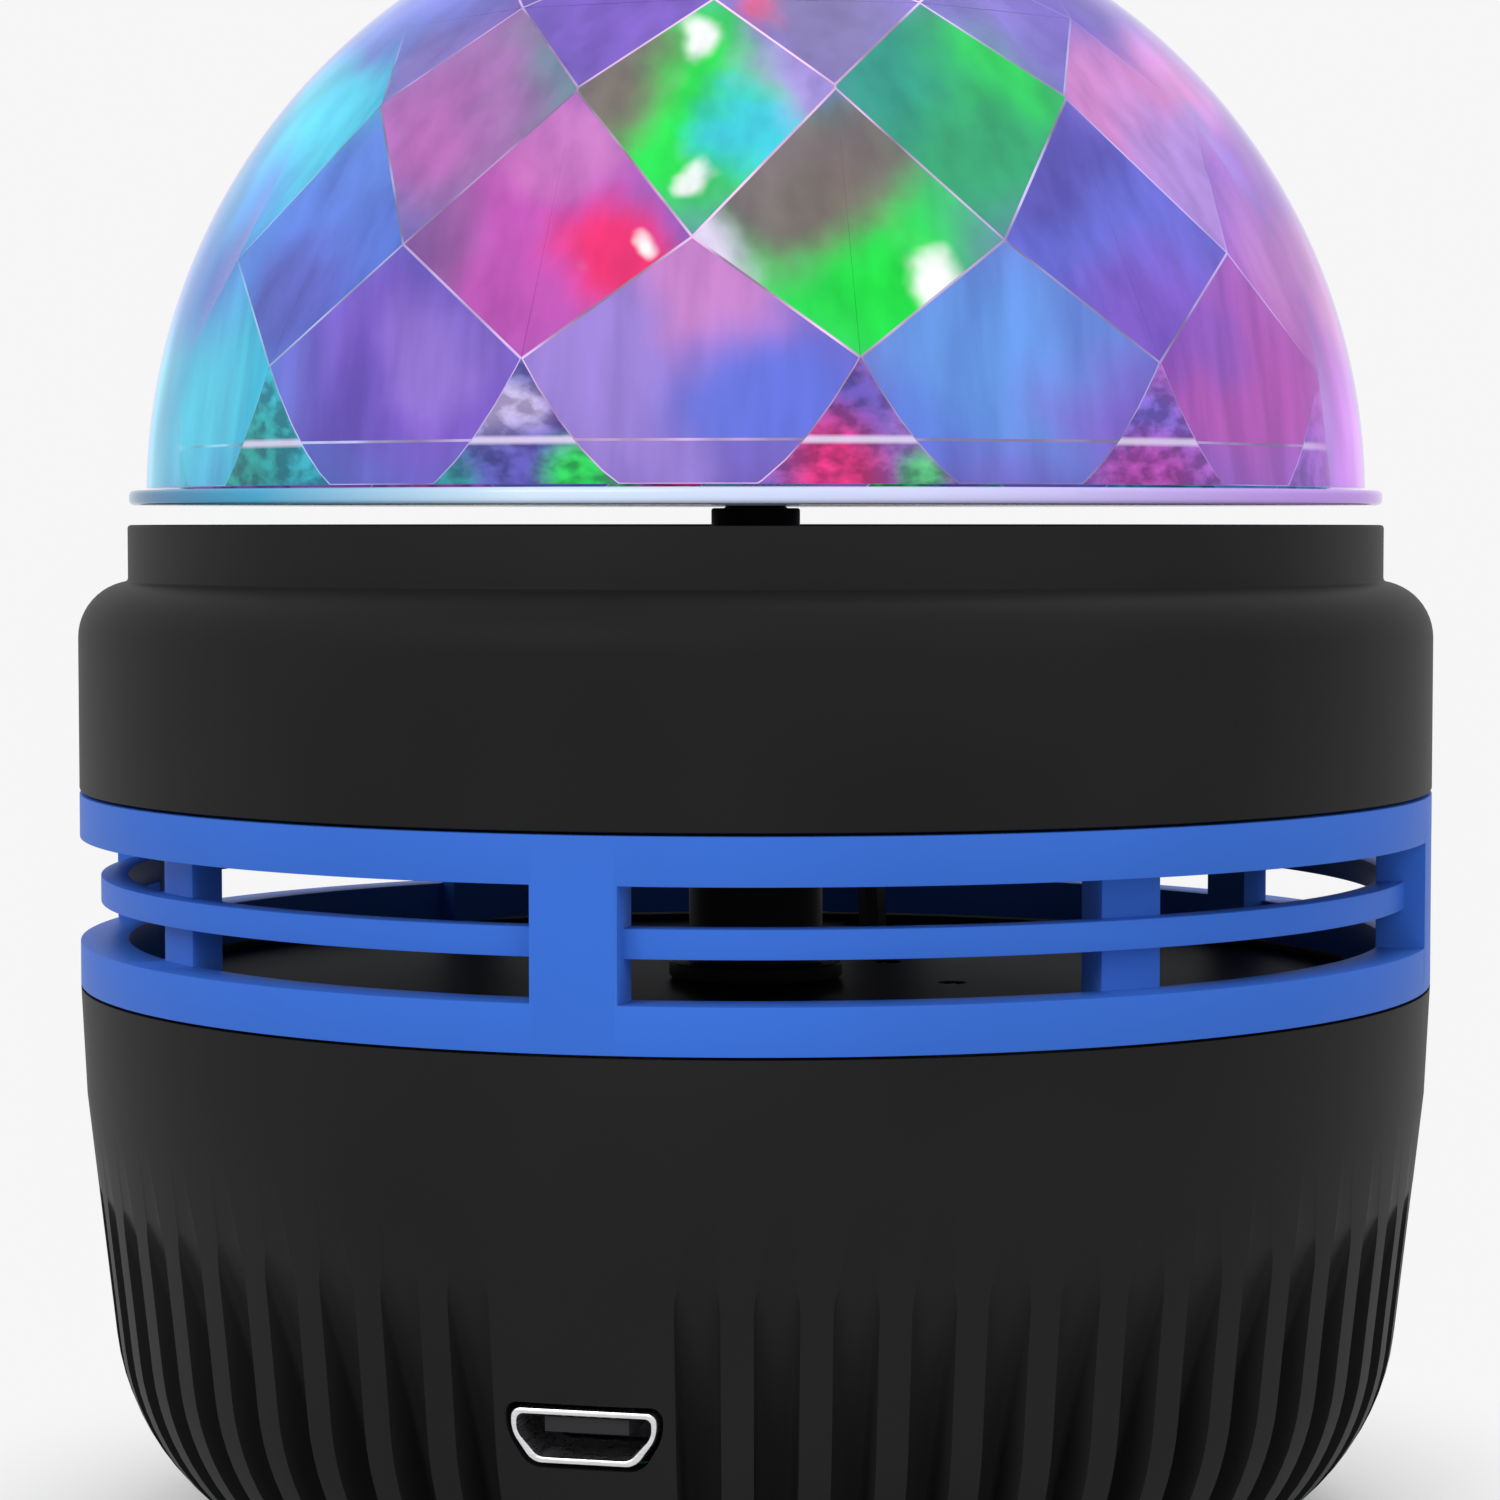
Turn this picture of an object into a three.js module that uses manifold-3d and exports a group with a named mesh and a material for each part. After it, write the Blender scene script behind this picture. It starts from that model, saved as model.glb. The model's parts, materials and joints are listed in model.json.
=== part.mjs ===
import * as THREE from "three";
import { mergeVertices, toCreasedNormals } from "three/addons/utils/BufferGeometryUtils.js";
import Module from "manifold-3d";

// A small lamp whose clear faceted dome turns over six coloured lights.
// Millimetres, +Z up. The origin is on the table under the middle of the lamp, and the socket faces -Y.
// An azimuth is counted from -Y towards +X, and a profile is a list of [radius, height].

const degrees = THREE.MathUtils.degToRad;

// Clearances
const seatGap = 0.15;
const fitGap = 0.3;
const runGap = 0.1;
const toothGap = 0.06;
const cutOverrun = 1;
const weldDistance = 0.0001;
const creaseAngle = degrees(30);

// Facets of round things, by size
const bodySegments = 48;
const domeSegments = 36;
const plateSegments = 32;
const partSegments = 16;
const lensSegments = 12;
const pinSegments = 10;
const screwSegments = 8;
const curveSteps = 3;
const mostRoundingShare = 0.45;

// Heights of the outer pieces, from the table up
const footStand = 0.8;
const lowerHeight = 31.95;
const cageHeight = 11.15;
const upperHeight = 15.45;
const domeGap = 1.15;
const discThickness = 0.85;

// Outer radii: each inner one follows from the one outside it
const bodyRadius = 40;
const neckInset = 2.9;
const discInset = 0.1;
const discBrim = 1;
const domeRimWall = 1.9;
const neckRadius = bodyRadius - neckInset;
const discRadius = neckRadius - discInset;
const domeRadius = discRadius - discBrim;
const hollowRadius = domeRadius - domeRimWall;

// Lower housing: a slight taper, then one round corner down to the flat foot
const taperBreakDrop = 6.25;
const taperBreakInset = 0.3;
const cornerRadius = 14;
const cornerInset = 1.8;
const cornerRiseShare = 0.936;
const cornerStartAngle = degrees(6.6);
const cornerSteps = 4;
const lowerWall = 2;
const cavityInset = 4;
const plateSeatWall = 2.7;
const flangeReach = 4.9;
const flangeThickness = 1.8;

// Flutes of the lower housing, left out at the socket and at the button
const fluteCount = 60;
const fluteTopDrop = 11.45;
const fluteFootRise = 1.2;
const fluteRunOut = 0.5;
const fluteWidthShare = 0.58;
const plainHalfAngle = degrees(7.2);

// Base cover, its screws and the feet
const coverRimWall = 2.4;
const coverThickness = 1.45;
const coverHeadPocket = 0.8;
const bossRadius = 2.5;
const footInset = 8.9;
const footRadius = 3.6;
const footPocketDepth = 1;
const footChamfer = 0.3;
const footAzimuths = [0, 90, 180, 270].map(degrees);
const coverScrewInset = 2.2;
const coverScrewAzimuths = [45, 165, 285].map(degrees);
const coverScrew = { shank: 0.8, head: 1.8, headHeight: 0.6, drive: 0.8, driveDepth: 0.4 };
const coverScrewTipGap = 1.8;

// Vent ring
const cageWall = 2.8;
const bandHeight = 2.55;
const slotHeight = 2.25;
const middleRingInset = 1.2;
const postWidth = 4.64;
const ribWidth = 3.8;
const ribDepth = 1.8;
const ribRootDepth = 0.3;

// Upper housing and its lamp deck
const shoulderRadius = 3.3;
const shoulderCentreRise = 8.9;
const shoulderSteps = 5;
const upperFloor = 1.6;
const upperWall = 2.4;
const neckWall = 1.8;
const deckLedge = 1.4;
const deckLedgeHeight = 1.2;
const deckRecess = 1.3;
const deckThickness = 1.2;
const innerSlopeHeight = 4.5;
const chimneyRadius = 5.9;

// Light board, lights and lenses
const lightBoardRimGap = 5.1;
const lightBoardThickness = 1.6;
const boardScrewInset = 5.5;
const boardScrewAzimuths = [0, 120, 240].map(degrees);
const boardScrew = { shank: 0.8, length: 5, head: 1.8, headHeight: 1.2 };
const boardBossRadius = 3;
const lightInset = 12.5;
const lightAzimuths = [30, 90, 150, 210, 270, 330].map(degrees);
const lightSize = 5;
const lightHeight = 1.3;
const lightGap = 0.25;
const lensRadius = 4.4;
const lensFlangeRadius = 5.2;
const lensFlangeThickness = 0.8;
const lensCrown = 0.85;
const lensSteps = 2;

// Centre tube, bush, shaft and hub
const tubeRadius = 4;
const tubeWall = 1.4;
const tubeCollarRadius = 5.2;
const tubeCollarHeight = 0.9;
const tubeRise = 1.8;
const bushFlangeRadius = 3.6;
const bushFlangeHeight = 0.9;
const bushLength = 5;
const shaftRadius = 1.5;
const hubWeb = 1.8;
const hubRadius = 2.65;
const hubSpigotRadius = 1.8;
const hubScrew = { shank: 0.8, length: 3, head: 3.4, headHeight: 1.5, drive: 1.2, driveDepth: 0.9 };

// Dome: how far its centre lies under the disc's top, and its hollow, a drum cut by rows of flat facets.
// The facets' corners lie above the centre, from the rim up, by shares of the dome's radius, and the last
// ones carry the flat top.
const domeSink = 0.55;
const domeSteps = 10;
const facetColumns = 12;
const facetTurn = degrees(7.5);
const petalTopInset = 2.1;
const cornerHeightShares = [0.2, 0.375, 0.608, 0.75, 0.828, 0.889];

// Chassis plate and the gear plate that hangs under it
const plateThickness = 1.2;
const plateRecess = 0.25;
const cableNotchWidth = 3.4;
const cableNotchDepth = 5;
const pillarRadius = 2.2;
const pillarShares = [
  [-1.125, -0.417],
  [0.5, -1.333],
  [1.458, 1.292],
];
const gearPlateCentreShares = [0.167, 0.125];
const gearPlateShare = 2;
const gearPlateThickness = 0.9;
const gearScrew = { shank: 0.8, length: 4.5, head: 1.8, headHeight: 1.2 };
const pivotBossRadius = 3.1;
const pivotBossHeight = 2.4;
const pivotFloor = 0.9;

// Gear train: three like stages on equal centre distances
const gearModule = 0.75;
const wheelTeeth = 24;
const pinionTeeth = 8;
const profileShift = 0.4;
const wheelAddendumShare = 1;
const pinionAddendumShare = 0.7;
const wheelFlankShares = [0, 1];
const pinionFlankShares = [0, 0.28, 0.62, 1];
const dedendumShare = 1.25;
const pressureAngle = degrees(20);
const gearThickness = 1.6;
const gearSpacing = 0.3;
const topHubHeight = 1;
const gearHubRadius = 1.6;
const outputHubRadius = 3;
const idlerPinRadius = 0.75;
const idlerTwoDirection = degrees(0);
const idlerOneDirection = degrees(120);
const motorDirection = degrees(180);

// Motor
const motorBossGap = 0.9;
const motorFlatDepth = 1.5;
const motorBoardGap = 1.1;
const motorNoseRadius = 2.9;
const motorNoseHeight = 0.8;
const motorShaftRadius = 0.75;
const motorShaftShare = 0.5;
const motorShaftStub = 0.4;
const endCapHeight = 0.9;
const endCapInset = 0.5;
const terminalSpread = 4;
const terminalSize = [1.6, 0.5];

// Main board and what is soldered on it
const portHeight = 12.9;
const mainBoardRimGap = 3.3;
const mainBoardThickness = 1.6;
const portWall = 2;
const rearTongueWidth = 7.2;
const chipCentre = [2, -20];
const chipSize = [8, 5, 1.5];
const capacitorCentre = [-17, -11];
const capacitorRadius = 3.15;
const capacitorTopGap = 4;

// Socket: a micro-USB shell with its wide side on top
const shellWidth = 7.8;
const shellHeight = 2.85;
const shellTaper = 1.15;
const shellTaperShare = 0.56;
const shellRounding = 0.45;
const shellMetal = 0.33;
const shellLength = 6.4;
const shellBackWall = 0.4;
const tongueWidth = 4.5;
const tongueThickness = 0.8;
const tongueLength = 4.2;
const tongueLift = 0.5;
const tongueRootLength = 1;

// Rear button and its switch
const buttonRadius = 2.5;
const buttonProud = 0.4;
const buttonCrown = 0.3;
const buttonFlange = 0.7;
const buttonFlangeThickness = 0.5;
const buttonTravel = 0.3;
const buttonWall = 2.6;
const switchWidth = 5;
const switchHeight = 3.1;
const switchDepth = 3.5;
const plungerRadius = 0.9;
const plungerLength = 0.3;

// Light cable from the main board up behind the rear post: its middle line by hand, in from its rise
const cableRadius = 1;
const cableSides = 8;
const cableSteps = 16;
const cableInset = 2.4;
const cableFoot = { x: -8, inset: 8.1, rise: 3.7 };
const cableBend = { x: -4.5, inset: 2.6, drop: 4.4 };
const cablePlateDrop = 4.3;
const cablePlateRise = 3.5;
const cableFloorRise = 1.2;
const cableTop = { inset: 1.7, drop: 3.5 };
const cableEndBend = { inset: 3.1, drop: 1.7 };
const cableEndInset = 3.2;

// Levels that follow from the heights
const lowerTop = footStand + lowerHeight;
const cageBottom = lowerTop + seatGap;
const cageTop = cageBottom + cageHeight;
const upperBottom = cageTop + seatGap;
const neckTop = upperBottom + upperHeight;
const discBottom = neckTop + domeGap;
const discTop = discBottom + discThickness;
const domeCentre = discTop - domeSink;

const coverTop = footStand + coverThickness;
const flangeBottom = coverTop + seatGap;
const flangeTop = flangeBottom + flangeThickness;
const mainBoardTop = portHeight - shellHeight / 2 - seatGap;
const mainBoardBottom = mainBoardTop - mainBoardThickness;

const plateTop = lowerTop - plateRecess;
const plateBottom = plateTop - plateThickness;
const gearCeiling = plateBottom - gearSpacing;
const levelThree = gearCeiling - topHubHeight - gearThickness;
const levelTwo = levelThree - gearSpacing - gearThickness;
const levelOne = levelTwo - gearSpacing - gearThickness;
const gearPlateTop = levelOne - gearSpacing;
const gearPlateBottom = gearPlateTop - gearPlateThickness;
const motorTop = gearPlateBottom - seatGap;
const motorBottom = mainBoardTop + motorBoardGap + endCapHeight + seatGap;
const motorShaftBottom = THREE.MathUtils.lerp(motorTop, motorBottom, motorShaftShare);

const upperFloorTop = upperBottom + upperFloor;
const tubeTop = upperFloorTop + tubeRise;
const bushFlangeBottom = tubeTop + seatGap;
const bushTop = bushFlangeBottom + bushFlangeHeight;
const deckTop = neckTop - deckRecess;
const deckBottom = deckTop - deckThickness;
const ledgeTop = deckBottom - seatGap;
const chimneyTop = deckBottom - seatGap;
const lensBottom = deckBottom - seatGap - lensFlangeThickness;
const lightBottom = lensBottom - lightGap - lightHeight;
const lightBoardTop = lightBottom - seatGap;
const lightBoardBottom = lightBoardTop - lightBoardThickness;
const hubBottom = bushTop + fitGap;
const hubTop = discBottom - seatGap;
const hubScrewBottom = discTop + seatGap - hubScrew.length;
const hubBoreTop = hubScrewBottom - fitGap - hubWeb;

// Middle of the lower housing's round corner, where that corner ends, and where the taper breaks
const cornerRise = cornerRadius * cornerRiseShare;
const cornerCentre = [bodyRadius - cornerInset - cornerRadius, footStand + cornerRise];
const cornerStart = arcPoints(cornerCentre, cornerRadius, -cornerStartAngle, -cornerStartAngle, 1)[0];
const taperBreak = [bodyRadius - taperBreakInset, lowerTop - taperBreakDrop];

// Radii and circles that follow from the body's radius
const footRingRadius = cornerCentre[0] + Math.sqrt(cornerRadius ** 2 - cornerRise ** 2);
const coverRadius = footRingRadius - coverRimWall - fitGap;
const flangeOpeningRadius = coverRadius - flangeReach;
const coverScrewCircle = coverRadius - coverScrewInset;
const footCircle = coverRadius - footInset;
const cavityRadius = bodyRadius - cavityInset;
const cableRiseY = cavityRadius - cableInset;
const lightBoardRadius = bodyRadius - upperWall - lightBoardRimGap;
const boardScrewCircle = lightBoardRadius - boardScrewInset;
const lightCircle = lightBoardRadius - lightInset;

// Gear axes
const centreDistance = (gearModule * (wheelTeeth + pinionTeeth)) / 2;
const gearPlateRadius = centreDistance * gearPlateShare;
const gearPlateCentre = gearPlateCentreShares.map((share) => share * centreDistance);
const pillarPlaces = pillarShares.map((shares) => shares.map((share) => share * centreDistance));
const motorRadius = centreDistance - pivotBossRadius - motorBossGap;
const outputAxis = new THREE.Vector2();
const idlerTwoAxis = stepFrom(outputAxis, idlerTwoDirection);
const idlerOneAxis = stepFrom(idlerTwoAxis, idlerOneDirection);
const motorAxis = stepFrom(idlerOneAxis, motorDirection);

function stepFrom(axis, direction) {
  return new THREE.Vector2(Math.cos(direction), Math.sin(direction)).multiplyScalar(centreDistance).add(axis);
}

const wasm = await Module();
wasm.setup();

// A closed geometry as a solid that can be joined and cut
function solid(geometry) {
  const bare = geometry.clone();
  bare.deleteAttribute("normal");
  bare.deleteAttribute("uv");
  const merged = mergeVertices(bare, weldDistance);
  const corners = merged.index.array;
  const triangles = [];
  for (let i = 0; i < corners.length; i += 3) {
    const [a, b, c] = corners.slice(i, i + 3);
    if (a !== b && b !== c && c !== a) triangles.push(a, b, c);
  }
  return new wasm.Manifold(
    new wasm.Mesh({
      numProp: 3,
      vertProperties: merged.attributes.position.array,
      triVerts: new Uint32Array(triangles),
    }),
  );
}

function geometryOf(body) {
  const mesh = body.getMesh();
  const geometry = new THREE.BufferGeometry();
  geometry.setAttribute("position", new THREE.BufferAttribute(mesh.vertProperties, 3));
  geometry.setIndex(new THREE.BufferAttribute(mesh.triVerts, 1));
  return toCreasedNormals(geometry, creaseAngle);
}

function joined(geometries) {
  return geometries.map(solid).reduce((whole, piece) => whole.add(piece));
}

function cut(body, cutters) {
  return cutters.reduce((rest, cutter) => rest.subtract(solid(cutter)), body);
}

// Profile turned about the upright axis
function lathe(profile, segments) {
  const points = profile.map(([radius, height]) => new THREE.Vector2(radius, height));
  return new THREE.LatheGeometry(points, segments).rotateX(Math.PI / 2);
}

function drum(radius, bottom, top, segments = partSegments) {
  const profile = [[0, bottom], [radius, bottom], [radius, top], [0, top]];
  return lathe(profile, segments);
}

function hoop(inner, outer, bottom, top, segments = partSegments) {
  const profile = [[inner, bottom], [outer, bottom], [outer, top], [inner, top], [inner, bottom]];
  return lathe(profile, segments);
}

function prism(shape, bottom, top) {
  const settings = { depth: top - bottom, bevelEnabled: false, curveSegments: curveSteps };
  return new THREE.ExtrudeGeometry(shape, settings).translate(0, 0, bottom);
}

function block([left, right], [front, back], [bottom, top]) {
  const box = new THREE.BoxGeometry(right - left, back - front, top - bottom);
  return box.translate((left + right) / 2, (front + back) / 2, (bottom + top) / 2);
}

function around(middle, width) {
  return [middle - width / 2, middle + width / 2];
}

// Point on a circle at an azimuth
function polar(radius, azimuth) {
  return [radius * Math.sin(azimuth), -radius * Math.cos(azimuth)];
}

function arcPoints([centreRadius, centreHeight], radius, from, to, steps) {
  return Array.from({ length: steps + 1 }, (_, i) => {
    const angle = THREE.MathUtils.lerp(from, to, i / steps);
    return [centreRadius + radius * Math.cos(angle), centreHeight + radius * Math.sin(angle)];
  });
}

// Outline moved inwards by a distance, or outwards by a negative one; its corners run anticlockwise
function insetOutline(corners, distance) {
  const at = (i) => corners[(i + corners.length) % corners.length];
  return corners.map((corner, i) => {
    const before = new THREE.Vector2().subVectors(corner, at(i - 1)).normalize();
    const after = new THREE.Vector2().subVectors(at(i + 1), corner).normalize();
    const inward = new THREE.Vector2(-before.y - after.y, before.x + after.x).normalize();
    const slant = inward.dot(new THREE.Vector2(-before.y, before.x));
    return corner.clone().addScaledVector(inward, distance / slant);
  });
}

// Share of an edge that its rounding takes up, never as far as the rounding at the other end
function roundingReach(corner, other, rounding) {
  return Math.min(rounding / corner.distanceTo(other), mostRoundingShare);
}

function roundedShape(corners, rounding) {
  const shape = new THREE.Shape();
  corners.forEach((corner, i) => {
    const before = corners[(i + corners.length - 1) % corners.length];
    const after = corners[(i + 1) % corners.length];
    const start = corner.clone().lerp(before, roundingReach(corner, before, rounding));
    const end = corner.clone().lerp(after, roundingReach(corner, after, rounding));
    if (i === 0) shape.moveTo(start.x, start.y);
    else shape.lineTo(start.x, start.y);
    shape.quadraticCurveTo(corner.x, corner.y, end.x, end.y);
  });
  shape.closePath();
  return shape;
}

// Screw with its head above the origin and its shank below; one that shows has a recess for its driver
function screw({ shank, length, head, headHeight, drive = 0, driveDepth = 0 }) {
  const floor = headHeight - driveDepth;
  const recess = drive > 0 ? [[drive, headHeight], [drive, floor]] : [];
  const profile = [
    [0, -length],
    [shank, shank - length],
    [shank, 0],
    [head, 0],
    [head, headHeight],
    ...recess,
    [0, floor],
  ];
  return lathe(profile, screwSegments);
}

// Outer radius of the lower housing at a height
function lowerOuterRadius(height) {
  if (height > taperBreak[1]) {
    return THREE.MathUtils.mapLinear(height, taperBreak[1], lowerTop, taperBreak[0], bodyRadius);
  }
  if (height > cornerStart[1]) {
    return THREE.MathUtils.mapLinear(height, cornerStart[1], taperBreak[1], cornerStart[0], taperBreak[0]);
  }
  return cornerCentre[0] + Math.sqrt(cornerRadius ** 2 - (cornerCentre[1] - height) ** 2);
}

// The flute floors lie on one cone, which leaves the outer surface at both ends of the flutes
const fluteTop = lowerTop - fluteTopDrop;
const fluteFoot = footStand + fluteFootRise;

function fluteConeRadius(height) {
  const [footRadiusOut, topRadiusOut] = [lowerOuterRadius(fluteFoot), lowerOuterRadius(fluteTop)];
  return THREE.MathUtils.mapLinear(height, fluteFoot, fluteTop, footRadiusOut, topRadiusOut);
}

function lowerCavityRadius(height) {
  return Math.min(cavityRadius, fluteConeRadius(height) - lowerWall);
}

// Closed body between two rings of four corners, each ring anticlockwise from above
function wedge(low, high) {
  const positions = [...low, ...high].flat();
  const triangles = [0, 2, 1, 0, 3, 2, 4, 5, 6, 4, 6, 7];
  for (let i = 0; i < low.length; i++) {
    const next = (i + 1) % low.length;
    triangles.push(i, next, next + low.length, i, next + low.length, i + low.length);
  }
  const geometry = new THREE.BufferGeometry();
  geometry.setAttribute("position", new THREE.Float32BufferAttribute(positions, 3));
  geometry.setIndex(triangles);
  return geometry;
}

// Cutter of one flute: a flat floor along the cone between two walls that point at the lamp's axis
function fluteCutter(middle) {
  const edge = (Math.PI / fluteCount) * fluteWidthShare;
  const ring = (height) => {
    const floor = fluteConeRadius(height);
    const outside = bodyRadius + cutOverrun;
    return [
      [...polar(outside, middle - edge), height],
      [...polar(outside, middle + edge), height],
      [...polar(floor, middle + edge), height],
      [...polar(floor, middle - edge), height],
    ];
  };
  return wedge(ring(fluteFoot - fluteRunOut), ring(fluteTop + fluteRunOut));
}

function flutedBody() {
  const footAngle = Math.asin((cornerCentre[1] - footStand) / cornerRadius);
  const profile = [
    [0, footStand],
    ...arcPoints(cornerCentre, cornerRadius, -footAngle, -cornerStartAngle, cornerSteps),
    taperBreak,
    [bodyRadius, lowerTop],
    [0, lowerTop],
  ];
  const pitch = (2 * Math.PI) / fluteCount;
  const middles = Array.from({ length: fluteCount }, (_, i) => (i + 0.5) * pitch);
  const fluted = middles.filter((middle) => Math.abs(Math.sin(middle)) > Math.sin(plainHalfAngle));
  const body = lathe(profile, fluteCount).rotateZ(pitch / 2);
  return cut(solid(body), fluted.map(fluteCutter));
}

// Socket outline in its own plane, wide side up, and things pushed through the front wall along it
const portRadius = lowerOuterRadius(portHeight);
const shellTaperTop = shellHeight * (shellTaperShare - 1 / 2);
const shellOutline = [
  [shellTaper - shellWidth / 2, -shellHeight / 2],
  [shellWidth / 2 - shellTaper, -shellHeight / 2],
  [shellWidth / 2, shellTaperTop],
  [shellWidth / 2, shellHeight / 2],
  [-shellWidth / 2, shellHeight / 2],
  [-shellWidth / 2, shellTaperTop],
].map(([x, y]) => new THREE.Vector2(x, y));

function frontPrism(shape, front, back) {
  return prism(shape, 0, back - front)
    .rotateX(Math.PI / 2)
    .translate(0, back, portHeight);
}

// Round thing on the button's axis, with its profile's heights counted outwards from the lamp's axis
function rearLathe(profile, segments = pinSegments) {
  return lathe(profile, segments).rotateX(-Math.PI / 2).translate(0, 0, portHeight);
}

const buttonPocketFace = portRadius - buttonWall;
const buttonFlangeOut = buttonPocketFace - seatGap;
const buttonFlangeIn = buttonFlangeOut - buttonFlangeThickness;
const plungerTip = buttonFlangeIn - buttonTravel - seatGap;
const switchFront = plungerTip - plungerLength;
const boardTongueFront = -(portRadius - portWall - fitGap);

function lowerHousing() {
  const plateSeatRadius = bodyRadius - plateSeatWall;
  const plateSeat = plateBottom - seatGap;
  const slopeTop = THREE.MathUtils.mapLinear(
    cavityRadius + lowerWall, fluteConeRadius(fluteFoot), fluteConeRadius(fluteTop), fluteFoot, fluteTop,
  );
  const cavity = lathe(
    [
      [0, footStand - cutOverrun],
      [coverRadius + fitGap, footStand - cutOverrun],
      [coverRadius + fitGap, flangeBottom],
      [flangeOpeningRadius, flangeBottom],
      [flangeOpeningRadius, flangeTop],
      [lowerCavityRadius(flangeTop), flangeTop],
      [cavityRadius, slopeTop],
      [cavityRadius, plateSeat],
      [plateSeatRadius, plateSeat],
      [plateSeatRadius, lowerTop + cutOverrun],
      [0, lowerTop + cutOverrun],
    ],
    plateSegments,
  );
  const hollow = flutedBody().subtract(solid(cavity));
  const bosses = coverScrewAzimuths.map((azimuth) => {
    const [x, y] = polar(coverScrewCircle, azimuth);
    const bottom = flangeTop - flangeThickness / 2;
    return drum(bossRadius, bottom, mainBoardBottom - seatGap, pinSegments).translate(x, y, 0);
  });
  const bores = coverScrewAzimuths.map((azimuth) => {
    const [x, y] = polar(coverScrewCircle, azimuth);
    const radius = coverScrew.shank + fitGap;
    return drum(radius, flangeBottom - cutOverrun, mainBoardBottom, pinSegments).translate(x, y, 0);
  });
  const tunnelBack = -lowerCavityRadius(portHeight) + lowerWall;
  const tunnel = frontPrism(
    roundedShape(insetOutline(shellOutline, -fitGap), shellRounding), -bodyRadius - cutOverrun, tunnelBack,
  );
  const boardSlot = block(
    around(0, shellWidth + 2 * fitGap),
    [-portRadius + portWall, tunnelBack],
    [mainBoardBottom - fitGap, portHeight],
  );
  const buttonHole = rearLathe([
    [0, lowerCavityRadius(portHeight) - lowerWall],
    [buttonRadius + buttonFlange + fitGap, lowerCavityRadius(portHeight) - lowerWall],
    [buttonRadius + buttonFlange + fitGap, buttonPocketFace],
    [buttonRadius + fitGap, buttonPocketFace],
    [buttonRadius + fitGap, bodyRadius + cutOverrun],
    [0, bodyRadius + cutOverrun],
  ]);
  return cut(hollow.add(joined(bosses)), [...bores, tunnel, boardSlot, buttonHole]);
}

function baseCover() {
  const plate = drum(coverRadius, footStand, coverTop, plateSegments);
  const feet = footAzimuths.map((azimuth) => {
    const pocketTop = footStand + footPocketDepth;
    return drum(footRadius + fitGap, footStand - cutOverrun, pocketTop, lensSegments)
      .translate(...polar(footCircle, azimuth), 0);
  });
  const holes = coverScrewAzimuths.flatMap((azimuth) => {
    const place = polar(coverScrewCircle, azimuth);
    const pocketTop = footStand + coverHeadPocket;
    const pocket = drum(coverScrew.head + fitGap, footStand - cutOverrun, pocketTop, pinSegments);
    const hole = drum(coverScrew.shank + fitGap, footStand, coverTop + cutOverrun, pinSegments);
    return [pocket.translate(...place, 0), hole.translate(...place, 0)];
  });
  return cut(solid(plate), [...feet, ...holes]);
}

function foot() {
  const height = footStand + footPocketDepth - seatGap;
  const profile = [
    [0, 0],
    [footRadius - footChamfer, 0],
    [footRadius, footChamfer],
    [footRadius, height],
    [0, height],
  ];
  return solid(lathe(profile, lensSegments));
}

// Vent ring: a tube with two rows of windows, its posts left whole, its middle ring set back, ribs inside
function ventRing() {
  const inner = bodyRadius - cageWall;
  const [slotLow, slotHigh] = [cageBottom + bandHeight, cageTop - bandHeight];
  const reach = bodyRadius + cutOverrun;
  const lowerSlot = hoop(inner - cutOverrun, reach, slotLow, slotLow + slotHeight, bodySegments);
  const upperSlot = hoop(inner - cutOverrun, reach, slotHigh - slotHeight, slotHigh, bodySegments);
  const setBack = hoop(bodyRadius - middleRingInset, reach, slotLow, slotHigh, bodySegments);
  const windows = joined([lowerSlot, upperSlot, setBack]);
  const bars = crossBars(postWidth, 0);
  const ribOuter = inner + ribRootDepth;
  const ribs = solid(hoop(ribOuter - ribDepth, ribOuter, cageBottom, cageTop, bodySegments));
  return solid(hoop(inner, bodyRadius, cageBottom, cageTop, bodySegments))
    .subtract(windows.subtract(bars))
    .add(ribs.intersect(crossBars(ribWidth, Math.PI / 4)));
}

// Two bars across the whole ring, for its four posts or its four ribs
function crossBars(width, turn) {
  const span = [cageBottom - cutOverrun, cageTop + cutOverrun];
  const reach = 2 * (bodyRadius + 2 * cutOverrun);
  const bar = block(around(0, width), around(0, reach), span);
  return joined([bar.clone().rotateZ(turn), bar.clone().rotateZ(turn + Math.PI / 2)]);
}

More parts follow.
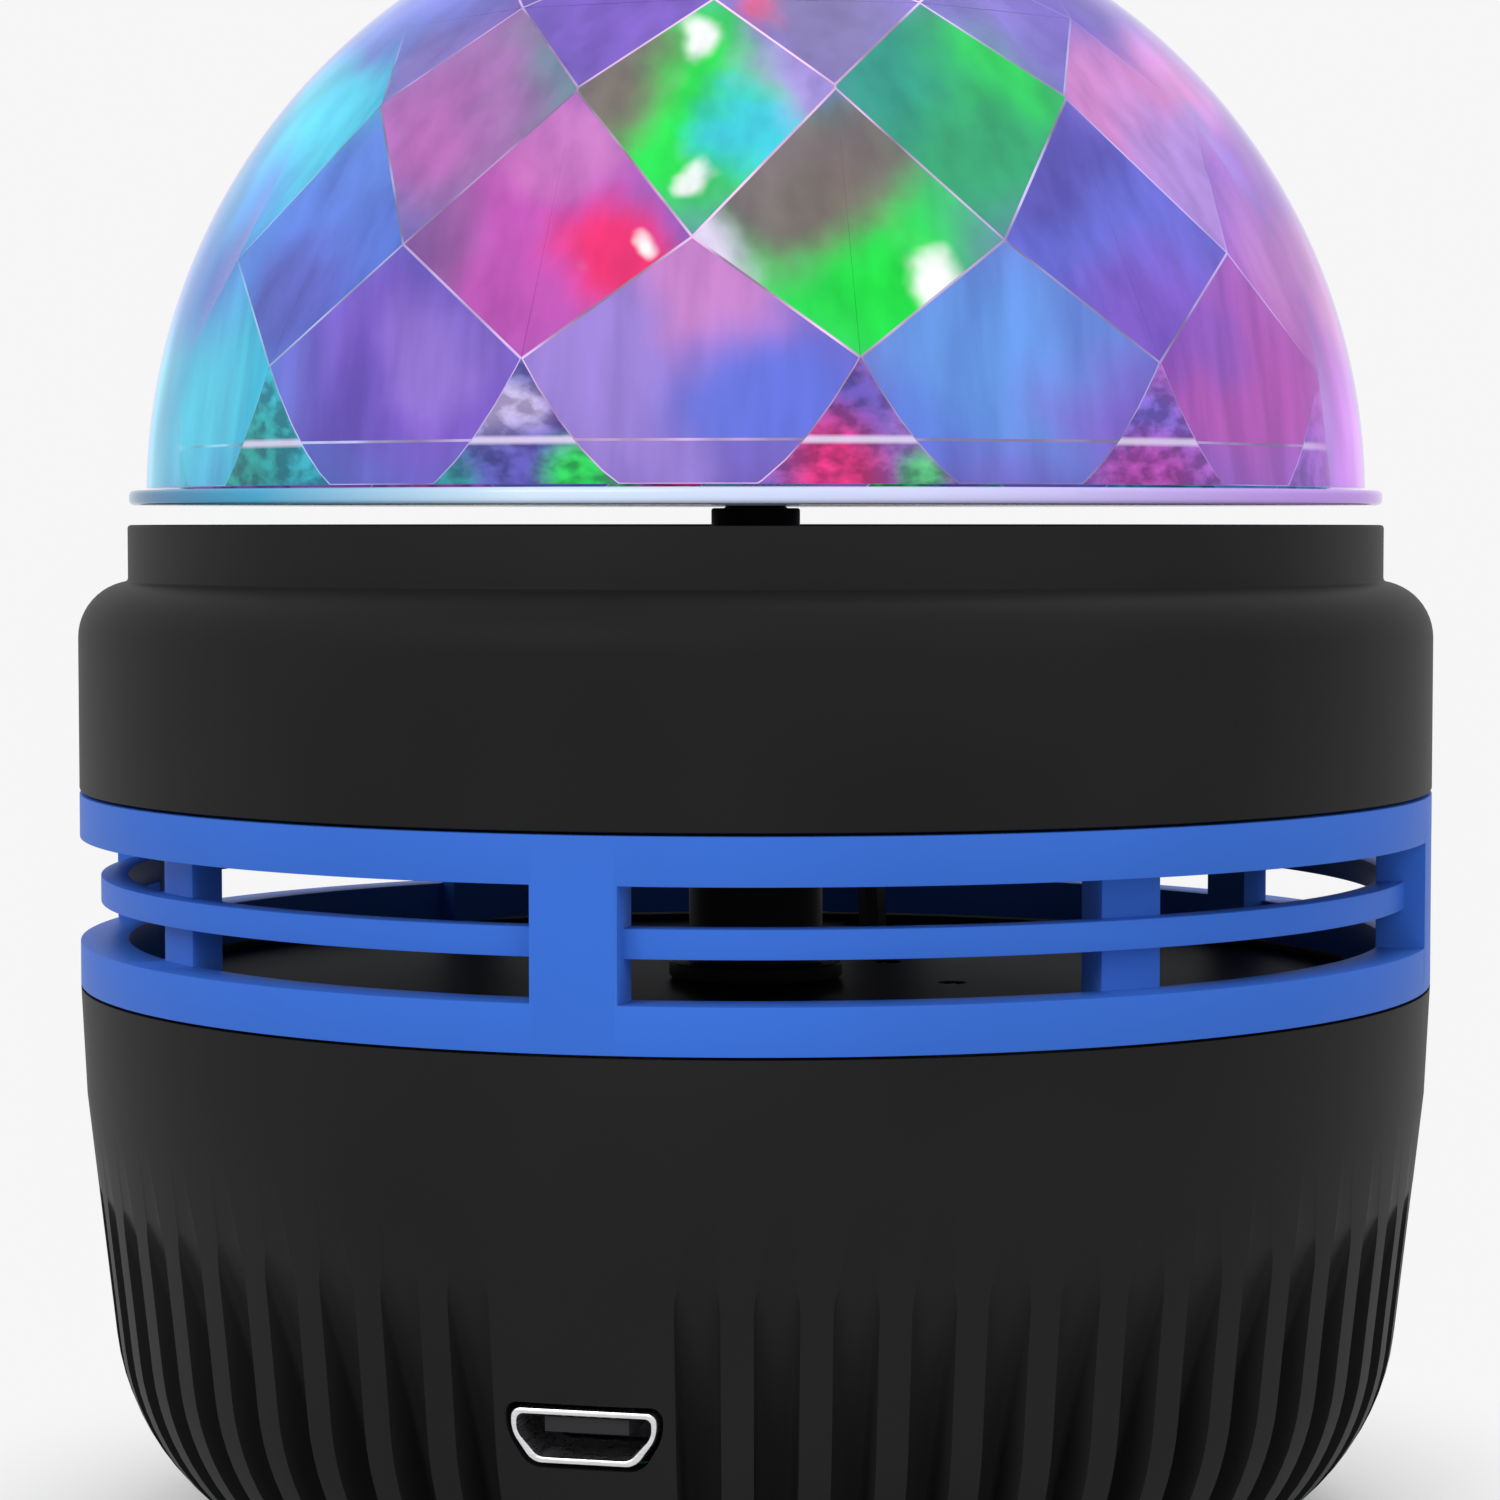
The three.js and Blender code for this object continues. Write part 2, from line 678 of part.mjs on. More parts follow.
function upperHousing() {
  const centre = [bodyRadius - shoulderRadius, upperBottom + shoulderCentreRise];
  const shoulderEnd = Math.acos((neckRadius - centre[0]) / shoulderRadius);
  const neckInner = neckRadius - neckWall;
  const ledgeInner = neckInner - deckLedge;
  const ledgeFoot = ledgeTop - deckLedgeHeight;
  const wallInner = bodyRadius - upperWall;
  const holeRadius = tubeRadius + fitGap;
  const shell = lathe(
    [
      [holeRadius, upperBottom],
      [bodyRadius, upperBottom],
      ...arcPoints(centre, shoulderRadius, 0, shoulderEnd, shoulderSteps),
      [neckRadius, neckTop],
      [neckInner, neckTop],
      [neckInner, ledgeTop],
      [ledgeInner, ledgeTop],
      [ledgeInner, ledgeFoot],
      [wallInner, ledgeFoot - innerSlopeHeight],
      [wallInner, upperFloorTop],
      [chimneyRadius, upperFloorTop],
      [chimneyRadius, chimneyTop],
      [holeRadius, chimneyTop],
      [holeRadius, upperBottom],
    ],
    bodySegments,
  );
  const bosses = boardScrewAzimuths.map((azimuth) =>
    drum(boardBossRadius, upperFloorTop - upperFloor / 2, lightBoardBottom - seatGap, pinSegments)
      .translate(...polar(boardScrewCircle, azimuth), 0),
  );
  const bores = boardScrewAzimuths.map((azimuth) =>
    drum(boardScrew.shank + fitGap, upperFloorTop, lightBoardBottom, pinSegments)
      .translate(...polar(boardScrewCircle, azimuth), 0),
  );
  const span = [upperBottom - cutOverrun, upperFloorTop + cutOverrun];
  const cableHole = drum(cableRadius + fitGap, ...span, pinSegments).translate(0, cableRiseY, 0);
  return cut(joined([shell, ...bosses]), [...bores, cableHole]);
}

function lampDeck() {
  const plate = drum(neckRadius - neckWall - fitGap, deckBottom, deckTop, plateSegments);
  const hubHole = drum(hubRadius + 2 * fitGap, deckBottom - cutOverrun, deckTop + cutOverrun);
  const windows = lightAzimuths.map((azimuth) =>
    drum(lensRadius + fitGap, deckBottom - cutOverrun, deckTop + cutOverrun, lensSegments)
      .translate(...polar(lightCircle, azimuth), 0),
  );
  return cut(solid(plate), [hubHole, ...windows]);
}

function lightBoard() {
  const plate = drum(lightBoardRadius, lightBoardBottom, lightBoardTop, plateSegments);
  const span = [lightBoardBottom - cutOverrun, lightBoardTop + cutOverrun];
  const holes = boardScrewAzimuths.map((azimuth) =>
    drum(boardScrew.shank + fitGap, ...span, pinSegments).translate(...polar(boardScrewCircle, azimuth), 0),
  );
  return cut(solid(plate), [drum(chimneyRadius + fitGap, ...span), ...holes]);
}

// Lens with its flange under the deck and a low crown above it, on its own axis
function lens() {
  const flangeTopLevel = deckBottom - seatGap;
  const crownRadius = (lensRadius ** 2 + lensCrown ** 2) / (2 * lensCrown);
  const crownCentre = [0, deckTop + lensCrown - crownRadius];
  const crownStart = Math.acos(lensRadius / crownRadius);
  const crown = arcPoints(crownCentre, crownRadius, crownStart, Math.PI / 2, lensSteps);
  const profile = [
    [0, lensBottom],
    [lensFlangeRadius, lensBottom],
    [lensFlangeRadius, flangeTopLevel],
    [lensRadius, flangeTopLevel],
    ...crown.slice(0, -1),
    [0, deckTop + lensCrown],
  ];
  return solid(lathe(profile, lensSegments));
}

function centreTube() {
  const bore = tubeRadius - tubeWall;
  const collarBottom = plateTop + seatGap;
  const profile = [
    [bore, plateBottom],
    [tubeRadius, plateBottom],
    [tubeRadius, collarBottom],
    [tubeCollarRadius, collarBottom],
    [tubeCollarRadius, collarBottom + tubeCollarHeight],
    [tubeRadius, collarBottom + tubeCollarHeight],
    [tubeRadius, tubeTop],
    [bore, tubeTop],
    [bore, plateBottom],
  ];
  return solid(lathe(profile, partSegments));
}

function shaftBush() {
  const bore = shaftRadius + runGap;
  const sleeve = tubeRadius - tubeWall - fitGap;
  const profile = [
    [bore, bushFlangeBottom - bushLength],
    [sleeve, bushFlangeBottom - bushLength],
    [sleeve, bushFlangeBottom],
    [bushFlangeRadius, bushFlangeBottom],
    [bushFlangeRadius, bushTop],
    [bore, bushTop],
    [bore, bushFlangeBottom - bushLength],
  ];
  return solid(lathe(profile, partSegments));
}

function driveShaft() {
  const bottom = gearPlateBottom - pivotBossHeight + pivotFloor + seatGap;
  return solid(drum(shaftRadius, bottom, hubBoreTop - seatGap, partSegments));
}

function domeHub() {
  const spigotTop = discTop - seatGap;
  const body = lathe(
    [
      [0, hubBottom],
      [hubRadius, hubBottom],
      [hubRadius, hubTop],
      [hubSpigotRadius, hubTop],
      [hubSpigotRadius, spigotTop],
      [0, spigotTop],
    ],
    partSegments,
  );
  const shaftBore = drum(shaftRadius + seatGap, hubBottom - cutOverrun, hubBoreTop);
  const screwSpan = [hubScrewBottom - fitGap, spigotTop + cutOverrun];
  const screwBore = drum(hubScrew.shank + fitGap, ...screwSpan, pinSegments);
  return cut(solid(body), [shaftBore, screwBore]);
}

function domeDisc() {
  return solid(hoop(hubSpigotRadius + fitGap, discRadius, discBottom, discTop, bodySegments));
}

// Plane across an azimuth's upright plane, through two points of it, the lower one first
function planeThrough([lowRadius, lowHeight], [highRadius, highHeight]) {
  const elevation = Math.atan2(lowRadius - highRadius, highHeight - lowHeight);
  return { elevation, distance: lowRadius * Math.cos(elevation) + lowHeight * Math.sin(elevation) };
}

// Facet planes of the hollow by row from the rim up, the petals first. Each later row's planes pass through
// the corner under them and the two corners beside them, and end in the corner above them.
const cornerHeights = cornerHeightShares.map((share) => share * domeRadius);

function facetRows() {
  const besideShare = Math.cos(Math.PI / facetColumns);
  const [firstHeight, secondHeight, ...otherHeights] = cornerHeights;
  let under = [hollowRadius, firstHeight];
  let beside = [hollowRadius - petalTopInset, secondHeight];
  const rows = [planeThrough([under[0] * besideShare, under[1]], beside)];
  for (const height of otherHeights) {
    const row = planeThrough(under, [beside[0] * besideShare, beside[1]]);
    rows.push(row);
    const above = [under[0] - (height - under[1]) * Math.tan(row.elevation), height];
    [under, beside] = [beside, above];
  }
  rows.push(planeThrough(under, [beside[0] * besideShare, beside[1]]));
  return rows;
}

// Everything beyond a plane that faces an azimuth and elevation from the dome's centre
function beyondPlane(azimuth, elevation, distance) {
  const size = 2 * domeRadius;
  return new THREE.BoxGeometry(size, size, size)
    .translate(distance + size / 2, 0, 0)
    .rotateY(-elevation)
    .rotateZ(azimuth - Math.PI / 2)
    .translate(0, 0, domeCentre);
}

function domeHollow() {
  const bottom = discTop + seatGap - cutOverrun;
  const pitch = (2 * Math.PI) / facetColumns;
  const planes = facetRows().flatMap(({ elevation, distance }, row) =>
    Array.from({ length: facetColumns }, (_, column) => {
      const azimuth = facetTurn + (column + (row % 2) / 2) * pitch;
      return beyondPlane(azimuth, elevation, distance);
    }),
  );
  return cut(solid(drum(hollowRadius, bottom, domeCentre + cornerHeights.at(-1), bodySegments)), planes);
}

function domeShell() {
  const bottom = discTop + seatGap;
  const start = Math.asin((bottom - domeCentre) / domeRadius);
  const arc = arcPoints([0, domeCentre], domeRadius, start, Math.PI / 2, domeSteps);
  const ball = lathe([[0, bottom], ...arc.slice(0, -1), [0, domeCentre + domeRadius]], domeSegments);
  return solid(ball).subtract(domeHollow());
}

function chassisPlate() {
  const radius = bodyRadius - plateSeatWall - fitGap;
  const plate = drum(radius, plateBottom, plateTop, plateSegments);
  const pillars = pillarPlaces.map(([x, y]) =>
    drum(pillarRadius, gearPlateTop + seatGap, plateTop - plateThickness / 2, pinSegments).translate(x, y, 0),
  );
  const screwBores = pillarPlaces.map(([x, y]) => {
    const top = gearPlateBottom + gearScrew.length;
    return drum(gearScrew.shank + fitGap, gearPlateTop, top, pinSegments).translate(x, y, 0);
  });
  const tubeHole = drum(tubeRadius + fitGap, plateBottom - cutOverrun, plateTop + cutOverrun);
  const notch = block(
    around(0, cableNotchWidth),
    [radius - cableNotchDepth, radius + cutOverrun],
    [plateBottom - cutOverrun, plateTop + cutOverrun],
  );
  const holes = [...screwBores, ...pinHoles(plateBottom, plateTop), tubeHole, notch];
  return cut(joined([plate, ...pillars]), holes);
}

function pinHoles(bottom, top) {
  return [idlerOneAxis, idlerTwoAxis].map(({ x, y }) =>
    drum(idlerPinRadius + seatGap, bottom - cutOverrun, top + cutOverrun, pinSegments).translate(x, y, 0),
  );
}

function gearPlate() {
  const plate = drum(gearPlateRadius, gearPlateBottom, gearPlateTop, plateSegments)
    .translate(...gearPlateCentre, 0);
  const bossBottom = gearPlateBottom - pivotBossHeight;
  const boss = drum(pivotBossRadius, bossBottom, gearPlateTop - gearPlateThickness / 2);
  const pivot = drum(shaftRadius + runGap, bossBottom + pivotFloor, gearPlateTop + cutOverrun);
  const span = [gearPlateBottom - cutOverrun, gearPlateTop + cutOverrun];
  const noseHole = drum(motorNoseRadius + fitGap, ...span).translate(motorAxis.x, motorAxis.y, 0);
  const screwHoles = pillarPlaces.map(([x, y]) =>
    drum(gearScrew.shank + fitGap, ...span, pinSegments).translate(x, y, 0),
  );
  const holes = [pivot, noseHole, ...screwHoles, ...pinHoles(gearPlateBottom, gearPlateTop)];
  return cut(joined([plate, boss]), holes);
}

function idlerPin() {
  return solid(drum(idlerPinRadius, gearPlateBottom, plateTop - seatGap, pinSegments));
}

// Outline of a gear with a tooth centred on angle zero. Its flank points lie on the involute of the base
// circle, at shares of the way from the root to the tip.
function gearShape(teeth, shift, addendumShare, flankShares) {
  const pitchRadius = (gearModule * teeth) / 2;
  const baseRadius = pitchRadius * Math.cos(pressureAngle);
  const rootRadius = pitchRadius - gearModule * (dedendumShare - shift);
  const tipRadius = pitchRadius + gearModule * (addendumShare + shift);
  const involute = (angle) => Math.tan(angle) - angle;
  const pitchHalf = (Math.PI / 2 + 2 * shift * Math.tan(pressureAngle)) / teeth - toothGap / pitchRadius;
  const flank = flankShares.map((share) => {
    const radius = THREE.MathUtils.lerp(rootRadius, tipRadius, share);
    const slope = Math.acos(Math.min(1, baseRadius / radius));
    return [radius, pitchHalf + involute(pressureAngle) - involute(slope)];
  });
  const points = [];
  for (let tooth = 0; tooth < teeth; tooth++) {
    const middle = (2 * Math.PI * tooth) / teeth;
    const rising = flank.map(([radius, half]) => [radius, middle - half]);
    const falling = flank.map(([radius, half]) => [radius, middle + half]).reverse();
    points.push(...rising, ...falling);
  }
  return new THREE.Shape(
    points.map(([radius, angle]) => new THREE.Vector2(radius * Math.cos(angle), radius * Math.sin(angle))),
  );
}

const wheelShape = gearShape(wheelTeeth, -profileShift, wheelAddendumShare, wheelFlankShares);
const pinionShape = gearShape(pinionTeeth, profileShift, pinionAddendumShare, pinionFlankShares);
const halfPinionTooth = Math.PI / pinionTeeth;

// Wheel and pinion of one idler, turned so that both are in mesh, with hubs that fill its pin's length
function idlerGear(wheelBottom, wheelTurn, pinionTurn) {
  const pinionBottom = wheelBottom + gearThickness / 2;
  const pinionTop = wheelBottom + 2 * gearThickness + gearSpacing;
  const body = joined([
    prism(wheelShape, wheelBottom, wheelBottom + gearThickness).rotateZ(wheelTurn),
    prism(pinionShape, pinionBottom, pinionTop).rotateZ(pinionTurn),
    drum(gearHubRadius, levelOne, gearCeiling, pinSegments),
  ]);
  const span = [levelOne - cutOverrun, gearCeiling + cutOverrun];
  return cut(body, [drum(idlerPinRadius + runGap, ...span, pinSegments)]);
}

function outputGear() {
  const body = joined([
    prism(wheelShape, levelThree, levelThree + gearThickness).rotateZ(idlerTwoDirection),
    drum(outputHubRadius, levelThree, gearCeiling),
  ]);
  return cut(body, [drum(shaftRadius + seatGap, levelThree - cutOverrun, gearCeiling + cutOverrun)]);
}

function motorPinion() {
  const turn = motorDirection + Math.PI + halfPinionTooth;
  const shaftTop = levelOne + gearThickness + motorShaftStub;
  return joined([
    prism(pinionShape, levelOne, levelOne + gearThickness).rotateZ(turn),
    drum(motorShaftRadius, motorShaftBottom, shaftTop, pinSegments),
  ]);
}

// Motor body on its own axis: a round can with two flats and a nose that centres it in the gear plate
function motorCan() {
  const can = solid(drum(motorRadius, motorBottom, motorTop));
  const span = [motorBottom - cutOverrun, motorTop + cutOverrun];
  const width = 2 * (motorRadius - motorFlatDepth);
  const flats = solid(block(around(0, width), around(0, 2 * motorRadius + cutOverrun), span));
  const nose = drum(motorNoseRadius, motorTop - motorNoseHeight, motorTop + motorNoseHeight);
  const boreSpan = [motorShaftBottom - fitGap, motorTop + motorNoseHeight + cutOverrun];
  const bore = drum(motorShaftRadius + runGap, ...boreSpan, pinSegments);
  return cut(can.intersect(flats).add(solid(nose)), [bore]);
}

function motorEndCap() {
  const top = motorBottom - seatGap;
  const span = [top - endCapHeight, top];
  const cap = drum(motorRadius - endCapInset, ...span);
  const width = 2 * (motorRadius - motorFlatDepth - endCapInset);
  const flats = block(around(0, width), around(0, 2 * motorRadius), span);
  const terminalSpan = [mainBoardTop + seatGap, top - endCapHeight / 2];
  const terminals = [-terminalSpread, terminalSpread].map((y) =>
    block(around(0, terminalSize[0]), around(y, terminalSize[1]), terminalSpan),
  );
  return solid(cap).intersect(solid(flats)).add(joined(terminals));
}

function mainBoard() {
  const reach = lowerCavityRadius(mainBoardBottom) - fitGap;
  const rearReach = Math.sqrt(reach ** 2 - (rearTongueWidth / 2) ** 2);
  return joined([
    drum(reach - mainBoardRimGap, mainBoardBottom, mainBoardTop, plateSegments),
    block(around(0, shellWidth), [boardTongueFront, 0], [mainBoardBottom, mainBoardTop]),
    block(around(0, rearTongueWidth), [0, rearReach], [mainBoardBottom, mainBoardTop]),
  ]);
}

function driverChip() {
  const [x, y] = chipCentre;
  const [width, depth, height] = chipSize;
  const bottom = mainBoardTop + seatGap;
  return solid(block(around(x, width), around(y, depth), [bottom, bottom + height]));
}

function capacitor() {
  const bottom = mainBoardTop + seatGap;
  return solid(drum(capacitorRadius, bottom, gearPlateBottom - capacitorTopGap, partSegments));
}

function usbShell() {
  const inner = insetOutline(shellOutline, shellMetal);
  const back = -portRadius + shellLength;
  const body = frontPrism(roundedShape(shellOutline, shellRounding), -portRadius, back);
  const hollow = frontPrism(
    roundedShape(inner, shellRounding - shellMetal / 2), -portRadius - cutOverrun, back - shellBackWall,
  );
  return cut(solid(body), [hollow]);
}

function usbTongue() {
  const outline = insetOutline(shellOutline, shellMetal + seatGap);
  const rootBack = -portRadius + shellLength - shellBackWall - seatGap;
  const rootFront = rootBack - tongueRootLength;
  const root = frontPrism(roundedShape(outline, shellRounding - shellMetal / 2), rootFront, rootBack);
  const blade = block(
    around(0, tongueWidth),
    [rootFront - tongueLength, rootBack - tongueRootLength / 2],
    around(portHeight + tongueLift, tongueThickness),
  );
  return joined([root, blade]);
}

function modeButton() {
  const capEnd = portRadius + buttonProud;
  const profile = [
    [0, buttonFlangeIn],
    [buttonRadius + buttonFlange, buttonFlangeIn],
    [buttonRadius + buttonFlange, buttonFlangeOut],
    [buttonRadius, buttonFlangeOut],
    [buttonRadius, capEnd - buttonCrown],
    [buttonRadius - buttonCrown, capEnd],
    [0, capEnd],
  ];
  return solid(rearLathe(profile, partSegments));
}

function switchBody() {
  const bottom = mainBoardTop + seatGap;
  const depth = [switchFront - switchDepth, switchFront];
  const body = block(around(0, switchWidth), depth, [bottom, bottom + switchHeight]);
  const plunger = rearLathe([
    [0, switchFront - plungerLength],
    [plungerRadius, switchFront - plungerLength],
    [plungerRadius, plungerTip],
    [0, plungerTip],
  ]);
  return joined([body, plunger]);
}

function lightCable() {
  const route = [
    [cableFoot.x, cableRiseY - cableFoot.inset, mainBoardTop + fitGap],
    [cableFoot.x, cableRiseY - cableFoot.inset, mainBoardTop + cableFoot.rise],
    [cableBend.x, cableRiseY - cableBend.inset, gearPlateBottom - cableBend.drop],
    [0, cableRiseY, plateBottom - cablePlateDrop],
    [0, cableRiseY, plateTop + cablePlateRise],
    [0, cableRiseY, upperFloorTop + cableFloorRise],
    [0, cableRiseY - cableTop.inset, lightBoardBottom - cableTop.drop],
    [0, cableRiseY - cableEndBend.inset, lightBoardBottom - cableEndBend.drop],
    [0, cableRiseY - cableEndInset, lightBoardBottom - fitGap],
  ].map((point) => new THREE.Vector3(...point));
  const section = new THREE.Shape(
    Array.from({ length: cableSides }, (_, i) => {
      const angle = (2 * Math.PI * i) / cableSides;
      return new THREE.Vector2(cableRadius * Math.cos(angle), cableRadius * Math.sin(angle));
    }),
  );
  const path = new THREE.CatmullRomCurve3(route);
  const settings = { steps: cableSteps, extrudePath: path, bevelEnabled: false };
  return solid(new THREE.ExtrudeGeometry(section, settings));
}

// Finishes
const blackPlastic = { color: 0x26262a, roughness: 0.48, metalness: 0 };
const bluePlastic = { color: 0x3f72d6, roughness: 0.4, metalness: 0 };
const clearPlastic = { color: 0xe4ecff, roughness: 0.04, metalness: 0, transparent: true, opacity: 0.3 };
const nylon = { color: 0xe9e6da, roughness: 0.5, metalness: 0 };
const steel = { color: 0xc9cacd, roughness: 0.28, metalness: 1 };
const brass = { color: 0xc9a24b, roughness: 0.3, metalness: 1 };
const rubber = { color: 0x1b1b1c, roughness: 0.85, metalness: 0 };
const boardGreen = { color: 0x1e6b3a, roughness: 0.45, metalness: 0 };
const boardWhite = { color: 0xeeeeea, roughness: 0.5, metalness: 0 };
const chipBlack = { color: 0x17171a, roughness: 0.55, metalness: 0 };
const sleeveBlack = { color: 0x1c1c22, roughness: 0.5, metalness: 0 };
const lightColours = [0xff2a4a, 0x21e35a, 0x2b6bff, 0xff2a4a, 0x21e35a, 0x2b6bff];

// Adds a named piece to a group, at a place and turn in that group
function addPiece(group, name, body, finish, place = [0, 0, 0], turn = [0, 0, 0]) {
  const mesh = new THREE.Mesh(geometryOf(body), new THREE.MeshStandardMaterial(finish));
  mesh.name = name;
  mesh.position.set(...place);
  mesh.rotation.set(...turn);
  group.add(mesh);
}

function addCopies(group, name, body, finish, places, turn) {
  places.forEach((place, i) => addPiece(group, `${name}_${i + 1}`, body, finish, place, turn));
}

function baseGroup() {
  const group = new THREE.Group();
  addPiece(group, "lower_housing", lowerHousing(), blackPlastic);
  addPiece(group, "base_cover", baseCover(), blackPlastic);
  const footPlaces = footAzimuths.map((azimuth) => [...polar(footCircle, azimuth), 0]);
  addCopies(group, "rubber_foot", foot(), rubber, footPlaces);
  const headSeat = footStand + coverHeadPocket - seatGap;
  const screwPlaces = coverScrewAzimuths.map((azimuth) => [...polar(coverScrewCircle, azimuth), headSeat]);
  const length = mainBoardBottom - coverScrewTipGap - headSeat;
  const oneScrew = solid(screw({ ...coverScrew, length }));
  addCopies(group, "cover_screw", oneScrew, steel, screwPlaces, [Math.PI, 0, 0]);
  addPiece(group, "main_board", mainBoard(), boardGreen);
  addPiece(group, "usb_shell", usbShell(), steel);
  addPiece(group, "usb_tongue", usbTongue(), chipBlack);
  addPiece(group, "driver_chip", driverChip(), chipBlack);
  addPiece(group, "capacitor", capacitor(), steel, [...capacitorCentre, 0]);
  addPiece(group, "switch_body", switchBody(), steel);
  addPiece(group, "mode_button", modeButton(), blackPlastic);
  return group;
}

function driveGroup() {
  const group = new THREE.Group();
  const onAxis = ({ x, y }) => [x, y, 0];
  addPiece(group, "chassis_plate", chassisPlate(), blackPlastic);
  addPiece(group, "gearbox_plate", gearPlate(), steel);
  const screwPlaces = pillarPlaces.map((place) => [...place, gearPlateBottom - seatGap]);
  addCopies(group, "gearbox_screw", solid(screw(gearScrew)), steel, screwPlaces, [Math.PI, 0, 0]);
  addCopies(group, "idler_pin", idlerPin(), steel, [idlerOneAxis, idlerTwoAxis].map(onAxis));
  addPiece(group, "motor_can", motorCan(), steel, onAxis(motorAxis));
  addPiece(group, "motor_end_cap", motorEndCap(), nylon, onAxis(motorAxis));
  addPiece(group, "motor_pinion", motorPinion(), brass, onAxis(motorAxis));
  const idlerOne = idlerGear(levelOne, motorDirection, idlerOneDirection + Math.PI + halfPinionTooth);
  addPiece(group, "idler_gear_1", idlerOne, nylon, onAxis(idlerOneAxis));
  const idlerTwo = idlerGear(levelTwo, idlerOneDirection, idlerTwoDirection + Math.PI + halfPinionTooth);
  addPiece(group, "idler_gear_2", idlerTwo, nylon, onAxis(idlerTwoAxis));
  addPiece(group, "output_gear", outputGear(), nylon);
  addPiece(group, "drive_shaft", driveShaft(), steel);
  return group;
}

function upperGroup() {
  const group = new THREE.Group();
  addPiece(group, "vent_ring", ventRing(), bluePlastic);
  addPiece(group, "centre_tube", centreTube(), blackPlastic);
  addPiece(group, "shaft_bush", shaftBush(), brass);
  addPiece(group, "upper_housing", upperHousing(), blackPlastic);
  addPiece(group, "led_board", lightBoard(), boardWhite);
  const headSeat = lightBoardTop + seatGap;
  const screwPlaces = boardScrewAzimuths.map((azimuth) => [...polar(boardScrewCircle, azimuth), headSeat]);
  addCopies(group, "board_screw", solid(screw(boardScrew)), steel, screwPlaces);
  const lightSpan = [lightBottom, lightBottom + lightHeight];
  const light = solid(block(around(0, lightSize), around(0, lightSize), lightSpan));
  const clearLens = lens();
  lightAzimuths.forEach((azimuth, i) => {
    const place = [...polar(lightCircle, azimuth), 0];
    const glowing = { ...boardWhite, emissive: lightColours[i] };
    addPiece(group, `led_${i + 1}`, light, glowing, place, [0, 0, azimuth]);
    addPiece(group, `led_lens_${i + 1}`, clearLens, { ...clearPlastic, color: lightColours[i] }, place);
  });
  addPiece(group, "lamp_deck", lampDeck(), blackPlastic);
  addPiece(group, "led_cable", lightCable(), sleeveBlack);
  return group;
}

function domeGroup() {
  const group = new THREE.Group();
  addPiece(group, "dome_hub", domeHub(), blackPlastic);
  addPiece(group, "dome_base", domeDisc(), clearPlastic);
  addPiece(group, "dome_shell", domeShell(), clearPlastic);
  addPiece(group, "hub_screw", solid(screw(hubScrew)), steel, [0, 0, discTop + seatGap]);
  return group;
}

const lamp = new THREE.Group();
lamp.add(baseGroup(), driveGroup(), upperGroup(), domeGroup());

export default lamp;
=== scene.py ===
import bpy
import json
import math
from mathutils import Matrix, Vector


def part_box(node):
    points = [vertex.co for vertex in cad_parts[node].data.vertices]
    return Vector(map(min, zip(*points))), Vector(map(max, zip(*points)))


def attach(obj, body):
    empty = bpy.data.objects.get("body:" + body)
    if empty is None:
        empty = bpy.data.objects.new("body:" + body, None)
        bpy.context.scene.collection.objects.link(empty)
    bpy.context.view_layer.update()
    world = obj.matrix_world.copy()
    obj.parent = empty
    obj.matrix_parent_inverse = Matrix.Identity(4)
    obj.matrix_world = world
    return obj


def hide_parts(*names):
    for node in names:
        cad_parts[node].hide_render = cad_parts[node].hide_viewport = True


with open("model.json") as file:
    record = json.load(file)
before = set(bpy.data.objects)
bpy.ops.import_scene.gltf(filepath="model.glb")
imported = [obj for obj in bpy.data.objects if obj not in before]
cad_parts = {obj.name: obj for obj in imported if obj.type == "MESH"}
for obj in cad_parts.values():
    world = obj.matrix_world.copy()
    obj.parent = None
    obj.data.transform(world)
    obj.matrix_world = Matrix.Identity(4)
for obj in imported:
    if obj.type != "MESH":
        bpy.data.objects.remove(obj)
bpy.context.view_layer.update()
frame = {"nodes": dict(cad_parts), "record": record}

nodes = frame["nodes"]
mm = 0.001
past = 1 * mm  # how far a cutter reaches beyond what it cuts


# node helpers

def newMaterial(name):
    material = bpy.data.materials.new(name)
    material.use_nodes = True
    return material, material.node_tree.nodes, material.node_tree.links


def objectPlace(tree):
    return tree.new("ShaderNodeTexCoord").outputs["Object"]


def linkMath(tree, links, operation, first, second=None, vector=False):
    # one maths step, where a side is either a socket or a plain value
    node = tree.new("ShaderNodeVectorMath" if vector else "ShaderNodeMath")
    node.operation = operation
    for socketIn, side in zip(node.inputs, (first, second)):
        if isinstance(side, bpy.types.NodeSocket):
            links.new(side, socketIn)
        elif side is not None:
            socketIn.default_value = side
    givesNumber = not vector or operation in ("DOT_PRODUCT", "DISTANCE", "LENGTH")
    return node.outputs["Value" if givesNumber else "Vector"]


def mapRange(tree, links, value, low, high, atLow, atHigh, kind="LINEAR"):
    node = tree.new("ShaderNodeMapRange")
    node.interpolation_type = kind
    for name, setting in (("From Min", low), ("From Max", high), ("To Min", atLow), ("To Max", atHigh)):
        node.inputs[name].default_value = setting
    links.new(value, node.inputs["Value"])
    return node.outputs["Result"]


def mixColour(tree, links, factor, first, second, blend="MIX"):
    node = tree.new("ShaderNodeMix")
    node.data_type = "RGBA"
    node.blend_type = blend
    for name, kind, side in (("Factor", "VALUE", factor), ("A", "RGBA", first), ("B", "RGBA", second)):
        socketIn = next(x for x in node.inputs if x.name == name and x.type == kind)
        if isinstance(side, bpy.types.NodeSocket):
            links.new(side, socketIn)
        else:
            socketIn.default_value = side
    return next(x for x in node.outputs if x.type == "RGBA")


